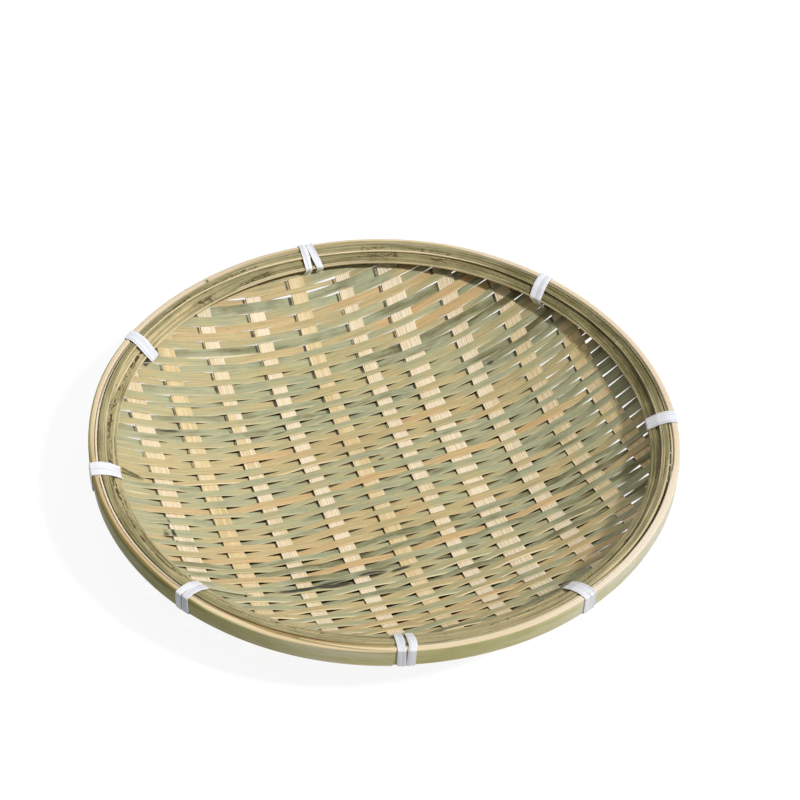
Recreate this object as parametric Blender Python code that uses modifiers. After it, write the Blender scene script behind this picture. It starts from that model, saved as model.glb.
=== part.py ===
"""A round zaru: a shallow bowl of plain woven bamboo strips, held in a bamboo rim by eight white bindings.

The frame has +Z up and its origin at the middle of the resting plane. Every length is in metres.
The weave has its own directions: u runs along the wefts and v along the warps, both measured on the
mat as if it lay flat. The bowl's profile then lifts each point of it into place.
"""

import math

import bpy
import numpy as np

# The gap that neighbouring strips keep
CLEARANCE = 0.0003

# The outer hoop, which sets the diameter and the height of the whole basket
RIM_RADIUS = 0.115
RIM_TOP = 0.035
HOOP_HEIGHT = 0.008
HOOP_THICKNESS = 0.0024
HOOP_CHAMFER = 0.0004

# The two slanting bands inside the hoop and the splint beside its top edge
BAND_THICKNESS = 0.0009
BAND_SLOPE = math.radians(21.4)
LOWER_BAND_WIDTH = 0.0075
UPPER_BAND_WIDTH = 0.0032
SPLINT_WIDTH = 0.0007
SPLINT_HEIGHT = 0.0008
BAND_TOP_DROP = 0.0004

# The joint where the ends of a hoop or band meet
SCARF_LENGTH = 0.012
SCARF_OVERRUN = 0.004

# The bowl's profile: a flat middle, a rising side and a bend up against the hoop
FLAT_RADIUS = 0.030
SIDE_POWER_SHARE = 2.3
BEND_START_INSET = 0.0051
BEND_START_DROP = 0.0006
BEND_END_SLOPE = math.radians(72)
BEND_STATIONS = 3

# The most that a flat facet of a strip may stand off the curve
FACET_HEIGHT = 0.00008

# The wefts, thin strips packed side by side; the margin is between the last of them and the mat's round edge
WEFTS_EACH_SIDE = 34
WEFT_EDGE_MARGIN = 0.0038
WEFT_THICKNESS = 0.0004

# The warps, wide pale strips that the wefts pass over and under in turn; the margin runs to where the mat bends
WARP_EDGE_MARGIN = 0.0166
WARP_WIDTH = 0.0069
WARP_THICKNESS = 0.0005
WARP_ROW_OFFSET = 0.0054
WARP_SHIFT_SHARES = (0.00, -0.09, -0.08, 0.05, 0.06, 0.07, 0.03, 0.10, 0.11, 0.01)
WARP_WIDTH_SHARES = (1.10, 1.00, 0.90, 0.94, 1.00, 0.92, 1.28, 0.97, 0.95, 1.02)
WARP_MARGIN = 0.0005
WARP_STATION_STEP = 0.0085
WARP_BEND_STATIONS = 5
WEAVE_TURN = math.radians(20.5)

# The ends of two neighbouring wefts are joined where the bands hide them
JOINT_LENGTH = 0.0015
JOINT_SEARCH_STEP = 0.0005

# The white bindings round the rim
BINDING_WIDTH = 0.0054
BINDING_THICKNESS = 0.0005
BINDING_ANGLES = (107.4, 54.2, 4.4, -48.2, -84.6, -127.0, -164.7, 155.2)
BINDING_WIDTH_SHARES = (1.05, 1.10, 1.20, 1.00, 1.15, 1.10, 1.20, 1.00)
OUTER_HOOP_SCARF_ANGLE = BINDING_ANGLES[4]
UPPER_BAND_SCARF_ANGLE = BINDING_ANGLES[7]
LOWER_BAND_SCARF_ANGLE = BINDING_ANGLES[2]
SPLINT_SCARF_ANGLE = BINDING_ANGLES[1]

RING_STEPS = 72

# Worked out from the sizes above
HOOP_INNER_RADIUS = RIM_RADIUS - HOOP_THICKNESS
HOOP_BOTTOM = RIM_TOP - HOOP_HEIGHT
WEFT_LIFT = (WEFT_THICKNESS + WARP_THICKNESS) / 2 + CLEARANCE
MAT_HALF_DEPTH = WEFT_LIFT + WEFT_THICKNESS / 2
BEND_START_RADIUS = HOOP_INNER_RADIUS - BEND_START_INSET
SIDE_RUN = BEND_START_RADIUS - FLAT_RADIUS
SIDE_RISE = HOOP_BOTTOM - BEND_START_DROP - MAT_HALF_DEPTH
BEND_START_SLOPE = math.atan(SIDE_POWER_SHARE * SIDE_RISE / SIDE_RUN)
MAT_EDGE_RADIUS = HOOP_INNER_RADIUS - CLEARANCE - MAT_HALF_DEPTH
BEND_RADIUS = (MAT_EDGE_RADIUS - BEND_START_RADIUS) / (1 - math.sin(BEND_START_SLOPE))
BEND_LENGTH = BEND_RADIUS * (BEND_END_SLOPE - BEND_START_SLOPE)
MAT_REACH = BEND_START_RADIUS + BEND_LENGTH
WEFT_PITCH = (MAT_REACH - WEFT_EDGE_MARGIN) / WEFTS_EACH_SIDE
WEFT_WIDTH = WEFT_PITCH - CLEARANCE
WARP_PITCH = 2 * (BEND_START_RADIUS - WARP_EDGE_MARGIN) / (len(WARP_SHIFT_SHARES) - 1)


def clear_scene():
    for obj in list(bpy.data.objects):
        bpy.data.objects.remove(obj, do_unlink=True)


def new_collection(name):
    collection = bpy.data.collections.new(name)
    bpy.context.scene.collection.children.link(collection)
    return collection


def new_material(name, colour, roughness):
    material = bpy.data.materials.new(name)
    material.use_nodes = True
    shader = material.node_tree.nodes["Principled BSDF"]
    shader.inputs["Base Color"].default_value = (*colour, 1.0)
    shader.inputs["Roughness"].default_value = roughness
    shader.inputs["Metallic"].default_value = 0.0
    material.diffuse_color = (*colour, 1.0)
    return material


def new_object(name, vertices, edges, faces, material, collection):
    mesh = bpy.data.meshes.new(name)
    mesh.from_pydata(vertices, edges, faces)
    mesh.update()
    obj = bpy.data.objects.new(name, mesh)
    collection.objects.link(obj)
    mesh.materials.append(material)
    return obj


def thicken(obj, thickness):
    """Gives an open strip its thickness, half to each side."""
    solidify = obj.modifiers.new("thickness", "SOLIDIFY")
    solidify.thickness = thickness
    solidify.offset = 0.0
    solidify.use_even_offset = True


def bowl_profile(distance):
    """Radius, height and slope of the mat's middle surface at a distance from its centre along the mat."""
    distance = np.asarray(distance, float)
    run = np.clip((distance - FLAT_RADIUS) / SIDE_RUN, 0.0, 1.0)
    side_height = SIDE_RISE * run**SIDE_POWER_SHARE
    side_slope = np.arctan(SIDE_POWER_SHARE * SIDE_RISE / SIDE_RUN * run ** (SIDE_POWER_SHARE - 1))
    bend_slope = BEND_START_SLOPE + np.maximum(distance - BEND_START_RADIUS, 0.0) / BEND_RADIUS
    bend_out = BEND_RADIUS * (np.sin(bend_slope) - math.sin(BEND_START_SLOPE))
    bend_up = BEND_RADIUS * (math.cos(BEND_START_SLOPE) - np.cos(bend_slope))
    bent = distance > BEND_START_RADIUS
    radius = np.where(bent, BEND_START_RADIUS + bend_out, distance)
    height = MAT_HALF_DEPTH + side_height + np.where(bent, bend_up, 0.0)
    return radius, height, np.where(bent, bend_slope, side_slope)


def on_bowl(u, v, lift):
    """Points of the mat at (u, v), raised by lift square to the bowl's surface."""
    u, v, lift = np.broadcast_arrays(u, v, lift)
    distance = np.hypot(u, v)
    radius, height, slope = bowl_profile(distance)
    angle = np.arctan2(v, u) + WEAVE_TURN
    out = radius - lift * np.sin(slope)
    return np.stack([out * np.cos(angle), out * np.sin(angle), height + lift * np.cos(slope)], -1)


def warp_rows():
    """The place across the mat and the width of each warp."""
    middle = (len(WARP_SHIFT_SHARES) - 1) / 2
    steps = np.arange(len(WARP_SHIFT_SHARES)) - middle + np.array(WARP_SHIFT_SHARES)
    return WARP_ROW_OFFSET + WARP_PITCH * steps, WARP_WIDTH * np.array(WARP_WIDTH_SHARES)


def weft_lift(u, weft):
    """How far a weft lies above or below the mat's middle at u: level over or under each warp."""
    places, widths = warp_rows()
    half = widths / 2 + WARP_MARGIN
    side = np.where((np.arange(len(places)) + weft) % 2 == 0, 1.0, -1.0) * WEFT_LIFT
    corners = np.stack([places - half, places + half], 1).reshape(-1)
    return np.interp(u, corners, np.repeat(side, 2))


def weft_place(weft):
    return (weft + 1 / 2 - WEFTS_EACH_SIDE) * WEFT_PITCH


def bend_places(across, sign):
    """Where a strip at this distance across the mat meets the stations of the bend, on one side."""
    stations = BEND_START_RADIUS + BEND_LENGTH * np.arange(BEND_STATIONS) / BEND_STATIONS
    stations = stations[stations > abs(across)]
    return sign * np.sqrt(stations**2 - across**2)


def weft_end(weft):
    """How far along u the weft reaches before its outer edge meets the mat's round edge."""
    edge = abs(weft_place(weft)) + WEFT_WIDTH / 2
    return math.sqrt(MAT_REACH**2 - edge**2)


def joint_place(first):
    """The end where a weft and its neighbour are joined: the point along u and the side it lies on.

    Both strips must be clear of every warp there, and it must lie under the bands. The point where
    the two are nearest to level is taken.
    """
    places, widths = warp_rows()
    best = None
    reach = min(weft_end(first), weft_end(first + 1))
    inner = min(abs(weft_place(first)), abs(weft_place(first + 1)))
    hidden = math.sqrt(max(BEND_START_RADIUS**2 - inner**2, 0.0))
    for sign in (-1, 1):
        for end in np.arange(reach, max(hidden, JOINT_LENGTH), -JOINT_SEARCH_STEP):
            span = np.array([sign * end, sign * (end - JOINT_LENGTH)])
            gaps = np.abs(span[:, None] - places) - widths / 2 - WARP_MARGIN
            height = abs(weft_lift(span, first)).max() / WEFT_LIFT + (reach - end) / reach
            if gaps.min() > 0 and (best is None or height < best[0]):
                best = (height, sign * end, sign)
    return best[1], best[2]


def weft_stations(weft, joint, sign):
    """The points along u where a weft's surface bends, from its joined end to its free end."""
    places, widths = warp_rows()
    half = widths / 2 + WARP_MARGIN
    free = -sign * weft_end(weft)
    corners = np.concatenate([places - half, places + half])
    bends = np.concatenate([bend_places(weft_place(weft), -1), bend_places(weft_place(weft), 1)])
    low, high = min(joint, free), max(joint, free)
    inner = np.concatenate([corners, bends])
    step = JOINT_LENGTH / 2
    inner = inner[(inner > low + step) & (inner < high - step)]
    inner = inner[np.abs(inner - joint) > JOINT_LENGTH + step]
    kept = []
    for place in sorted(inner):
        if not kept or place - kept[-1] > step or place in corners:
            if kept and place - kept[-1] <= step:
                kept.pop()
            kept.append(place)
    stations = np.array([joint, joint - sign * JOINT_LENGTH, *kept, free])
    return np.sort(stations)[::-1] if sign > 0 else np.sort(stations)


def make_weft_pair(number, material, collection):
    """Two neighbouring wefts, joined at one end under the bands so that they are one piece."""
    first = 2 * number
    joint, sign = joint_place(first)
    vertices, faces, starts = [], [], []
    for weft in (first, first + 1):
        stations = weft_stations(weft, joint, sign)
        edges = weft_place(weft) + WEFT_WIDTH / 2 * np.array([-1.0, 1.0])
        points = on_bowl(stations[:, None], edges, weft_lift(stations, weft)[:, None])
        starts.append(len(vertices))
        vertices.extend(points.reshape(-1, 3).tolist())
        for step in range(len(stations) - 1):
            corner = starts[-1] + 2 * step
            faces.append((corner, corner + 1, corner + 3, corner + 2)[:: -sign])
    near, far = starts[0] + 1, starts[1]
    faces.append((near, far, far + 2, near + 2)[:: -sign])
    obj = new_object(f"weft_pair_{number + 1:02d}", vertices, [], faces, material, collection)
    thicken(obj, WEFT_THICKNESS)
    return obj


def make_warp(number, material, collection):
    """A wide strip that runs across all the wefts at the mat's middle height."""
    places, widths = warp_rows()
    edge = abs(places[number]) + widths[number] / 2
    straight = math.sqrt(BEND_START_RADIUS**2 - edge**2)
    end = math.sqrt(MAT_REACH**2 - edge**2)
    middle = np.linspace(-straight, straight, round(2 * straight / WARP_STATION_STEP) + 1)
    bend = np.linspace(straight, end, WARP_BEND_STATIONS)[1:]
    stations = np.concatenate([-bend[::-1], middle, bend])
    bend_across = (places[number] / MAT_REACH) ** 2 / BEND_RADIUS
    columns = math.ceil(widths[number] * math.sqrt(bend_across / (8 * FACET_HEIGHT)))
    across = places[number] + widths[number] * np.linspace(-1, 1, columns + 1) / 2
    points = on_bowl(across, stations[:, None], 0.0)
    row = columns + 1
    corners = [i * row + j for i in range(len(stations) - 1) for j in range(columns)]
    faces = [(i, i + 1, i + row + 1, i + row) for i in corners]
    name = f"warp_{number + 1:02d}"
    obj = new_object(name, points.reshape(-1, 3).tolist(), [], faces, material, collection)
    thicken(obj, WARP_THICKNESS)
    return obj


def slanted_section(top_radius, top_height, width):
    """The four corners of a band's cross-section, whose top face runs down and inwards from its outer corner."""
    along = np.array([-math.cos(BAND_SLOPE), -math.sin(BAND_SLOPE)])
    down = np.array([math.sin(BAND_SLOPE), -math.cos(BAND_SLOPE)])
    corner = np.array([top_radius, top_height])
    steps = ((0, 0), (0, 1), (1, 1), (1, 0))
    return [tuple(corner + width * far * along + BAND_THICKNESS * deep * down) for far, deep in steps]


def make_ring(name, section, material, collection):
    """A turned ring: its section, listed down the outer side first, carried round the basket's axis."""
    vertices = [(radius, 0.0, height) for radius, height in section]
    edges = [(i, (i + 1) % len(section)) for i in range(len(section))]
    obj = new_object(name, vertices, edges, [], material, collection)
    screw = obj.modifiers.new("turn", "SCREW")
    screw.axis = "Z"
    screw.angle = math.tau
    screw.steps = RING_STEPS
    screw.render_steps = RING_STEPS
    screw.use_merge_vertices = True
    screw.merge_threshold = CLEARANCE / 10
    screw.use_smooth_shade = True
    return obj


def cut_scarf(ring, section, degrees, cutters):
    """Cuts the slanting joint where the ends of a ring meet, under one of the bindings."""
    radii = [radius for radius, _ in section]
    heights = [height for _, height in section]
    middle = (min(radii) + max(radii)) / 2
    depth = max(radii) - min(radii)
    angle = math.radians(degrees)
    bpy.ops.mesh.primitive_cube_add(size=1.0)
    cutter = bpy.context.active_object
    cutter.name = f"{ring.name}_scarf"
    tall = max(heights) - min(heights)
    cutter.scale = (CLEARANCE, math.hypot(SCARF_LENGTH, depth) + SCARF_OVERRUN, tall + SCARF_OVERRUN)
    cutter.location = (middle * math.cos(angle), middle * math.sin(angle), (min(heights) + max(heights)) / 2)
    cutter.rotation_euler = (0.0, 0.0, angle + math.atan2(depth, SCARF_LENGTH))
    cutter.hide_render = True
    cutter.display_type = "WIRE"
    for collection in list(cutter.users_collection):
        collection.objects.unlink(cutter)
    cutters.objects.link(cutter)
    boolean = ring.modifiers.new("scarf", "BOOLEAN")
    boolean.operation = "DIFFERENCE"
    boolean.solver = "EXACT"
    boolean.object = cutter


def outer_hoop_section():
    """An upright band with its top corners taken off."""
    return [
        (RIM_RADIUS, RIM_TOP - HOOP_CHAMFER),
        (RIM_RADIUS, HOOP_BOTTOM),
        (HOOP_INNER_RADIUS, HOOP_BOTTOM),
        (HOOP_INNER_RADIUS, RIM_TOP - HOOP_CHAMFER),
        (HOOP_INNER_RADIUS + HOOP_CHAMFER, RIM_TOP),
        (RIM_RADIUS - HOOP_CHAMFER, RIM_TOP),
    ]


def splint_section():
    """The thin splint that lies against the hoop's inner side, level with the bands' outer edge."""
    outer = HOOP_INNER_RADIUS - CLEARANCE
    top = RIM_TOP - BAND_TOP_DROP
    return [
        (outer, top),
        (outer, top - SPLINT_HEIGHT),
        (outer - SPLINT_WIDTH, top - SPLINT_HEIGHT),
        (outer - SPLINT_WIDTH, top),
    ]


def band_corner():
    """The outer top corner of the upper band, beside the splint."""
    return HOOP_INNER_RADIUS - 2 * CLEARANCE - SPLINT_WIDTH - BAND_THICKNESS * math.sin(BAND_SLOPE), RIM_TOP - BAND_TOP_DROP


def upper_band_section():
    radius, top = band_corner()
    return slanted_section(radius, top, UPPER_BAND_WIDTH)


def lower_band_section():
    """The wider band under the upper one, a clearance below it."""
    radius, top = band_corner()
    drop = (BAND_THICKNESS + CLEARANCE) / math.cos(BAND_SLOPE)
    return slanted_section(radius, top - drop, LOWER_BAND_WIDTH)


def binding_outline():
    """The middle line of a binding in its plane, as radius and height, from under the hoop round to the mat."""
    gap = CLEARANCE + BINDING_THICKNESS / 2
    section = lower_band_section()
    upper = upper_band_section()
    inner_top = section[3]
    outer = RIM_RADIUS + gap
    under = HOOP_BOTTOM - gap
    inside = inner_top[0] - gap
    _, mat_height, mat_slope = (float(value) for value in bowl_profile(inside))
    foot = mat_height + (MAT_HALF_DEPTH + gap) / math.cos(mat_slope)
    over = gap / math.cos(BAND_SLOPE)
    return [
        (HOOP_INNER_RADIUS, under),
        (outer - BINDING_THICKNESS, under),
        (outer, under + BINDING_THICKNESS),
        (outer, RIM_TOP),
        (outer - BINDING_THICKNESS, RIM_TOP + gap),
        (upper[0][0], RIM_TOP + gap),
        (upper[3][0], upper[3][1] + over),
        (inside, inner_top[1] + over),
        (inside, foot),
    ]


def make_binding(number, material, collection):
    """A flat ribbon round the hoop and the bands, whose ends stop either side of the mat."""
    outline = binding_outline()
    angle = math.radians(BINDING_ANGLES[number])
    half = BINDING_WIDTH * BINDING_WIDTH_SHARES[number] / 2
    out = np.array([math.cos(angle), math.sin(angle), 0.0])
    side = np.array([-math.sin(angle), math.cos(angle), 0.0])
    vertices = []
    for radius, height in outline:
        middle = radius * out + np.array([0.0, 0.0, height])
        vertices.extend([tuple(middle - half * side), tuple(middle + half * side)])
    faces = [(2 * i, 2 * i + 1, 2 * i + 3, 2 * i + 2) for i in range(len(outline) - 1)]
    obj = new_object(f"binding_{number + 1}", vertices, [], faces, material, collection)
    thicken(obj, BINDING_THICKNESS)
    return obj


def main():
    clear_scene()
    basket = new_collection("zaru_basket")
    cutters = new_collection("zaru_cutters")
    cutters.hide_render = True

    skin = new_material("green_bamboo_skin", (0.38, 0.36, 0.21), 0.45)
    band = new_material("olive_bamboo_band", (0.33, 0.30, 0.16), 0.50)
    pale = new_material("pale_bamboo_warp", (0.80, 0.66, 0.44), 0.60)
    green = new_material("grey_green_weft", (0.43, 0.42, 0.27), 0.55)
    tan = new_material("tan_weft", (0.62, 0.46, 0.27), 0.55)
    ribbon = new_material("white_ribbon", (0.85, 0.85, 0.87), 0.40)

    rings = (
        ("outer_hoop", outer_hoop_section(), skin, OUTER_HOOP_SCARF_ANGLE),
        ("upper_rim_band", upper_band_section(), band, UPPER_BAND_SCARF_ANGLE),
        ("lower_rim_band", lower_band_section(), band, LOWER_BAND_SCARF_ANGLE),
        ("rim_splint", splint_section(), band, SPLINT_SCARF_ANGLE),
    )
    for name, section, material, angle in rings:
        ring = make_ring(name, section, material, basket)
        cut_scarf(ring, section, angle, cutters)
    for number in range(len(WARP_SHIFT_SHARES)):
        make_warp(number, pale, basket)
    for number in range(WEFTS_EACH_SIDE):
        make_weft_pair(number, tan if number % 4 == 1 else green, basket)
    for number in range(len(BINDING_ANGLES)):
        make_binding(number, ribbon, basket)


main()
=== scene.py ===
"""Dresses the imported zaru: a shallow bowl woven from split bamboo, its rim and its eight ribbons.

The frame has +Z up and its origin at the middle of the resting plane, and every length is in
metres. The weave has its own directions: u runs along the wefts and v along the warps, both
measured on the mat as if it lay flat.
"""

import logging
import math
from dataclasses import dataclass
from enum import Enum

import bpy
import numpy as np
from mathutils import Matrix, Vector

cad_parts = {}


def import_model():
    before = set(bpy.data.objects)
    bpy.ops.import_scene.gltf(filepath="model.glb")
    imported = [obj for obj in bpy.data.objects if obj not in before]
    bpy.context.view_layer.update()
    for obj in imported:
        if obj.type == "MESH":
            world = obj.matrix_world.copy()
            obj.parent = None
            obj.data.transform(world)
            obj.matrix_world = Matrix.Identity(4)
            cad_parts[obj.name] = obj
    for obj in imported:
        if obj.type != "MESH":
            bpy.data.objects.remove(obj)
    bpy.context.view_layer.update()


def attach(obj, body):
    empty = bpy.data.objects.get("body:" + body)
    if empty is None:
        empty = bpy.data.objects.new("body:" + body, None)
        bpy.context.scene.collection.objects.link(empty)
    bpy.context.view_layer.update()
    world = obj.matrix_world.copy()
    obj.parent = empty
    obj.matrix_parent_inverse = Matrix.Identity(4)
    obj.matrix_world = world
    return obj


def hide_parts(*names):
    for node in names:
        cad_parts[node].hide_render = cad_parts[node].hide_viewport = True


MM = 0.001
Array = np.ndarray
Rng = np.random.Generator
Material = bpy.types.Material
Tree = bpy.types.NodeTree
Node = bpy.types.Node
Socket = bpy.types.NodeSocket
Colour = tuple[float, float, float, float]
Stops = tuple[tuple[float, float], ...]
Tones = tuple[tuple[float, Colour], ...]
log = logging.getLogger("zaru")


class Slot(Enum):
    """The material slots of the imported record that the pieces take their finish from."""

    SKIN = "green_bamboo_skin"
    BAND = "olive_bamboo_band"
    WARP = "pale_bamboo_warp"
    GREEN_WEFT = "grey_green_weft"
    TAN_WEFT = "tan_weft"
    RIBBON = "white_ribbon"


def srgb(red: float, green: float, blue: float) -> Colour:
    """A colour given as screen values from 0 to 255, as the linear colour that a shader takes.

    Args:
        red, green, blue: the screen values.

    Returns:
        The linear red, green and blue, with 1 for alpha.
    """
    screen = np.array([red, green, blue]) / 255
    linear = np.where(screen <= 0.04045, screen / 12.92, ((screen + 0.055) / 1.055) ** 2.4)
    return (*linear.tolist(), 1.0)


def tone_row(*stops: tuple[float, float, float, float]) -> Tones:
    """A row of tones, from stops that each give a place and its screen red, green and blue."""
    return tuple((place, srgb(*screen)) for place, *screen in stops)


def rows_of(kind: type, *rows: tuple) -> tuple:
    """A table with one item of a kind for each row of given values."""
    return tuple(kind(*row) for row in rows)


def ease(value: Array, low: float, high: float) -> Array:
    """A smooth step: 0 at low, 1 at high, between them thrice the square less twice the cube."""
    share = np.clip((value - low) / (high - low), 0.0, 1.0)
    return share * share * (3.0 - 2.0 * share)


def wander(rng: Rng, place: Array, size: float, longest: float, waves: int = 4) -> Array:
    """A smooth random line: a sum of sines, each shorter and lower than the one before.

    Args:
        rng: the source of the wavelengths and phases.
        place: where the line is wanted, in metres.
        size: the height of the first sine.
        longest: the wavelength of the first sine, in metres.
        waves: how many sines are added.

    Returns:
        The height of the line at each place.
    """
    order = 1.0 + np.arange(waves)
    lengths = longest / order**0.9 * rng.uniform(0.8, 1.2, waves)
    phases = rng.uniform(0.0, math.tau, waves)
    sines = np.sin(math.tau * np.asarray(place)[..., None] / lengths + phases)
    return (size / order**0.7 * sines).sum(-1)


def round_rim(degrees: Array, stops: Stops) -> Array:
    """The value at each azimuth of a row of (azimuth, value) stops, as a column."""
    return np.interp(degrees, *zip(*stops), period=360)[:, None]


def once_round(joint: float, radius: float) -> tuple[Array, Array, Array]:
    """Half-degree places round the rim from a joint, as degrees, as radians and as lengths."""
    degrees = np.arange(joint + 0.3, joint + 359.8, 0.5)
    return degrees, np.radians(degrees), np.radians(degrees) * radius


def turned_points(radii: Array, angle: Array, heights: Array) -> Array:
    """Points from their radii, azimuths and heights, with one more axis than these."""
    return np.stack([radii * np.cos(angle), radii * np.sin(angle), heights], -1)


def strip_place(along: Array, across: Array, number: float) -> Array:
    """What the finishes read: the place along and across a strip, and the strip's own number."""
    return np.stack(np.broadcast_arrays(along, across, float(number)), -1)


@dataclass(frozen=True)
class HoopLine:
    """How far the hand-bent hoop strays from a true circle, in millimetres outwards.

    The bands, the ribbons and the mat's edge follow it.
    """

    stops: Stops = (
        (-172, -0.5), (-150, 0.2), (-117, 0.6), (-95, -0.2), (-78, -0.5), (-50, 0.1), (-10, 1.2),
        (20, 0.5), (42, 0.1), (80, 1.2), (106, -0.1), (118, 0.3), (140, -0.1), (162, 0.8),
    )
    rounding: tuple[float, ...] = (-9, -6, -3, 0, 3, 6, 9)

    def stray(self, angle: Array) -> Array:
        """The mean of the lines between the stops over a few degrees either way, which rounds them.

        Args:
            angle: places round the hoop, in radians.

        Returns:
            The stray at each, in metres.
        """
        around = np.degrees(np.asarray(angle))[..., None] + np.array(self.rounding)
        return np.interp(around, *zip(*self.stops), period=360).mean(-1) * MM


@dataclass(frozen=True)
class BowlShape:
    """The middle surface of the mat: flat, then rising as a power of the distance, then bent up."""

    hoop_inner_radius: float = 112.6 * MM
    hoop_bottom: float = 27.0 * MM
    flat_radius: float = 30.0 * MM
    power: float = 2.3
    bend_inset: float = 5.1 * MM
    bend_drop: float = 0.6 * MM
    bend_end_slope: float = math.radians(72)
    half_depth: float = 0.95 * MM
    tail: float = 2.3 * MM
    clearance: float = 0.3 * MM
    turn: float = math.radians(20.5)
    stray_from: float = 62.0 * MM
    stray_whole: float = 106.0 * MM
    line: HoopLine = HoopLine()

    @property
    def bend_start(self) -> float:
        """The distance from the middle at which the mat starts to bend up."""
        return self.hoop_inner_radius - self.bend_inset

    @property
    def side_run(self) -> float:
        """How far the rising side reaches outwards."""
        return self.bend_start - self.flat_radius

    @property
    def side_rise(self) -> float:
        """How far the side rises."""
        return self.hoop_bottom - self.bend_drop - self.half_depth

    @property
    def steepness(self) -> float:
        """The side's rise for each metre outwards, where the bend takes over."""
        return self.power * self.side_rise / self.side_run

    @property
    def bend_slope(self) -> float:
        """The side's slope where the bend takes over."""
        return math.atan(self.steepness)

    @property
    def bend_radius(self) -> float:
        """The radius of the bend, which brings the mat upright just inside the hoop."""
        edge = self.hoop_inner_radius - self.clearance - self.half_depth
        return (edge - self.bend_start) / (1 - math.sin(self.bend_slope))

    @property
    def reach(self) -> float:
        """The distance from the middle, along the mat, at which the bend and the warps end."""
        return self.bend_start + self.bend_radius * (self.bend_end_slope - self.bend_slope)

    @property
    def tip(self) -> float:
        """The distance at which the wefts end, standing up between the bands and the hoop."""
        return self.reach + self.tail

    def profile(self, distance: Array) -> tuple[Array, Array, Array]:
        """The mat's section: the height is a power of the run past the flat middle, then an arc of
        a circle and a straight line up the hoop.

        Args:
            distance: how far from the middle, measured along the mat.

        Returns:
            The radius, the height and the slope there.
        """
        run = np.clip((distance - self.flat_radius) / self.side_run, 0.0, 1.0)
        side_slope = np.arctan(self.steepness * run ** (self.power - 1))
        round_bend = np.clip(distance - self.bend_start, 0.0, self.reach - self.bend_start)
        arc_slope = self.bend_slope + round_bend / self.bend_radius
        past = np.maximum(distance - self.reach, 0.0)
        arc_out = self.bend_radius * (np.sin(arc_slope) - math.sin(self.bend_slope))
        arc_out = arc_out + past * math.cos(self.bend_end_slope)
        arc_up = self.bend_radius * (math.cos(self.bend_slope) - np.cos(arc_slope))
        arc_up = arc_up + past * math.sin(self.bend_end_slope)
        bent = distance > self.bend_start
        radius = np.where(bent, self.bend_start + arc_out, distance)
        height = self.half_depth + self.side_rise * run**self.power + np.where(bent, arc_up, 0.0)
        return radius, height, np.where(bent, arc_slope, side_slope)

    def place(self, u: Array, v: Array, lift: Array) -> Array:
        """Points of the mat at (u, v), raised by lift square to its surface.

        Args:
            u, v: places on the flat mat.
            lift: the height above the middle surface.

        Returns:
            The points, with one more axis than the arguments.
        """
        u, v, lift = np.broadcast_arrays(u, v, lift)
        radius, height, slope = self.profile(np.hypot(u, v))
        angle = np.arctan2(v, u) + self.turn
        follow = ease(radius, self.stray_from, self.stray_whole)
        out = radius - lift * np.sin(slope) + self.line.stray(angle) * follow
        return turned_points(out, angle, height + lift * np.cos(slope))


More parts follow.
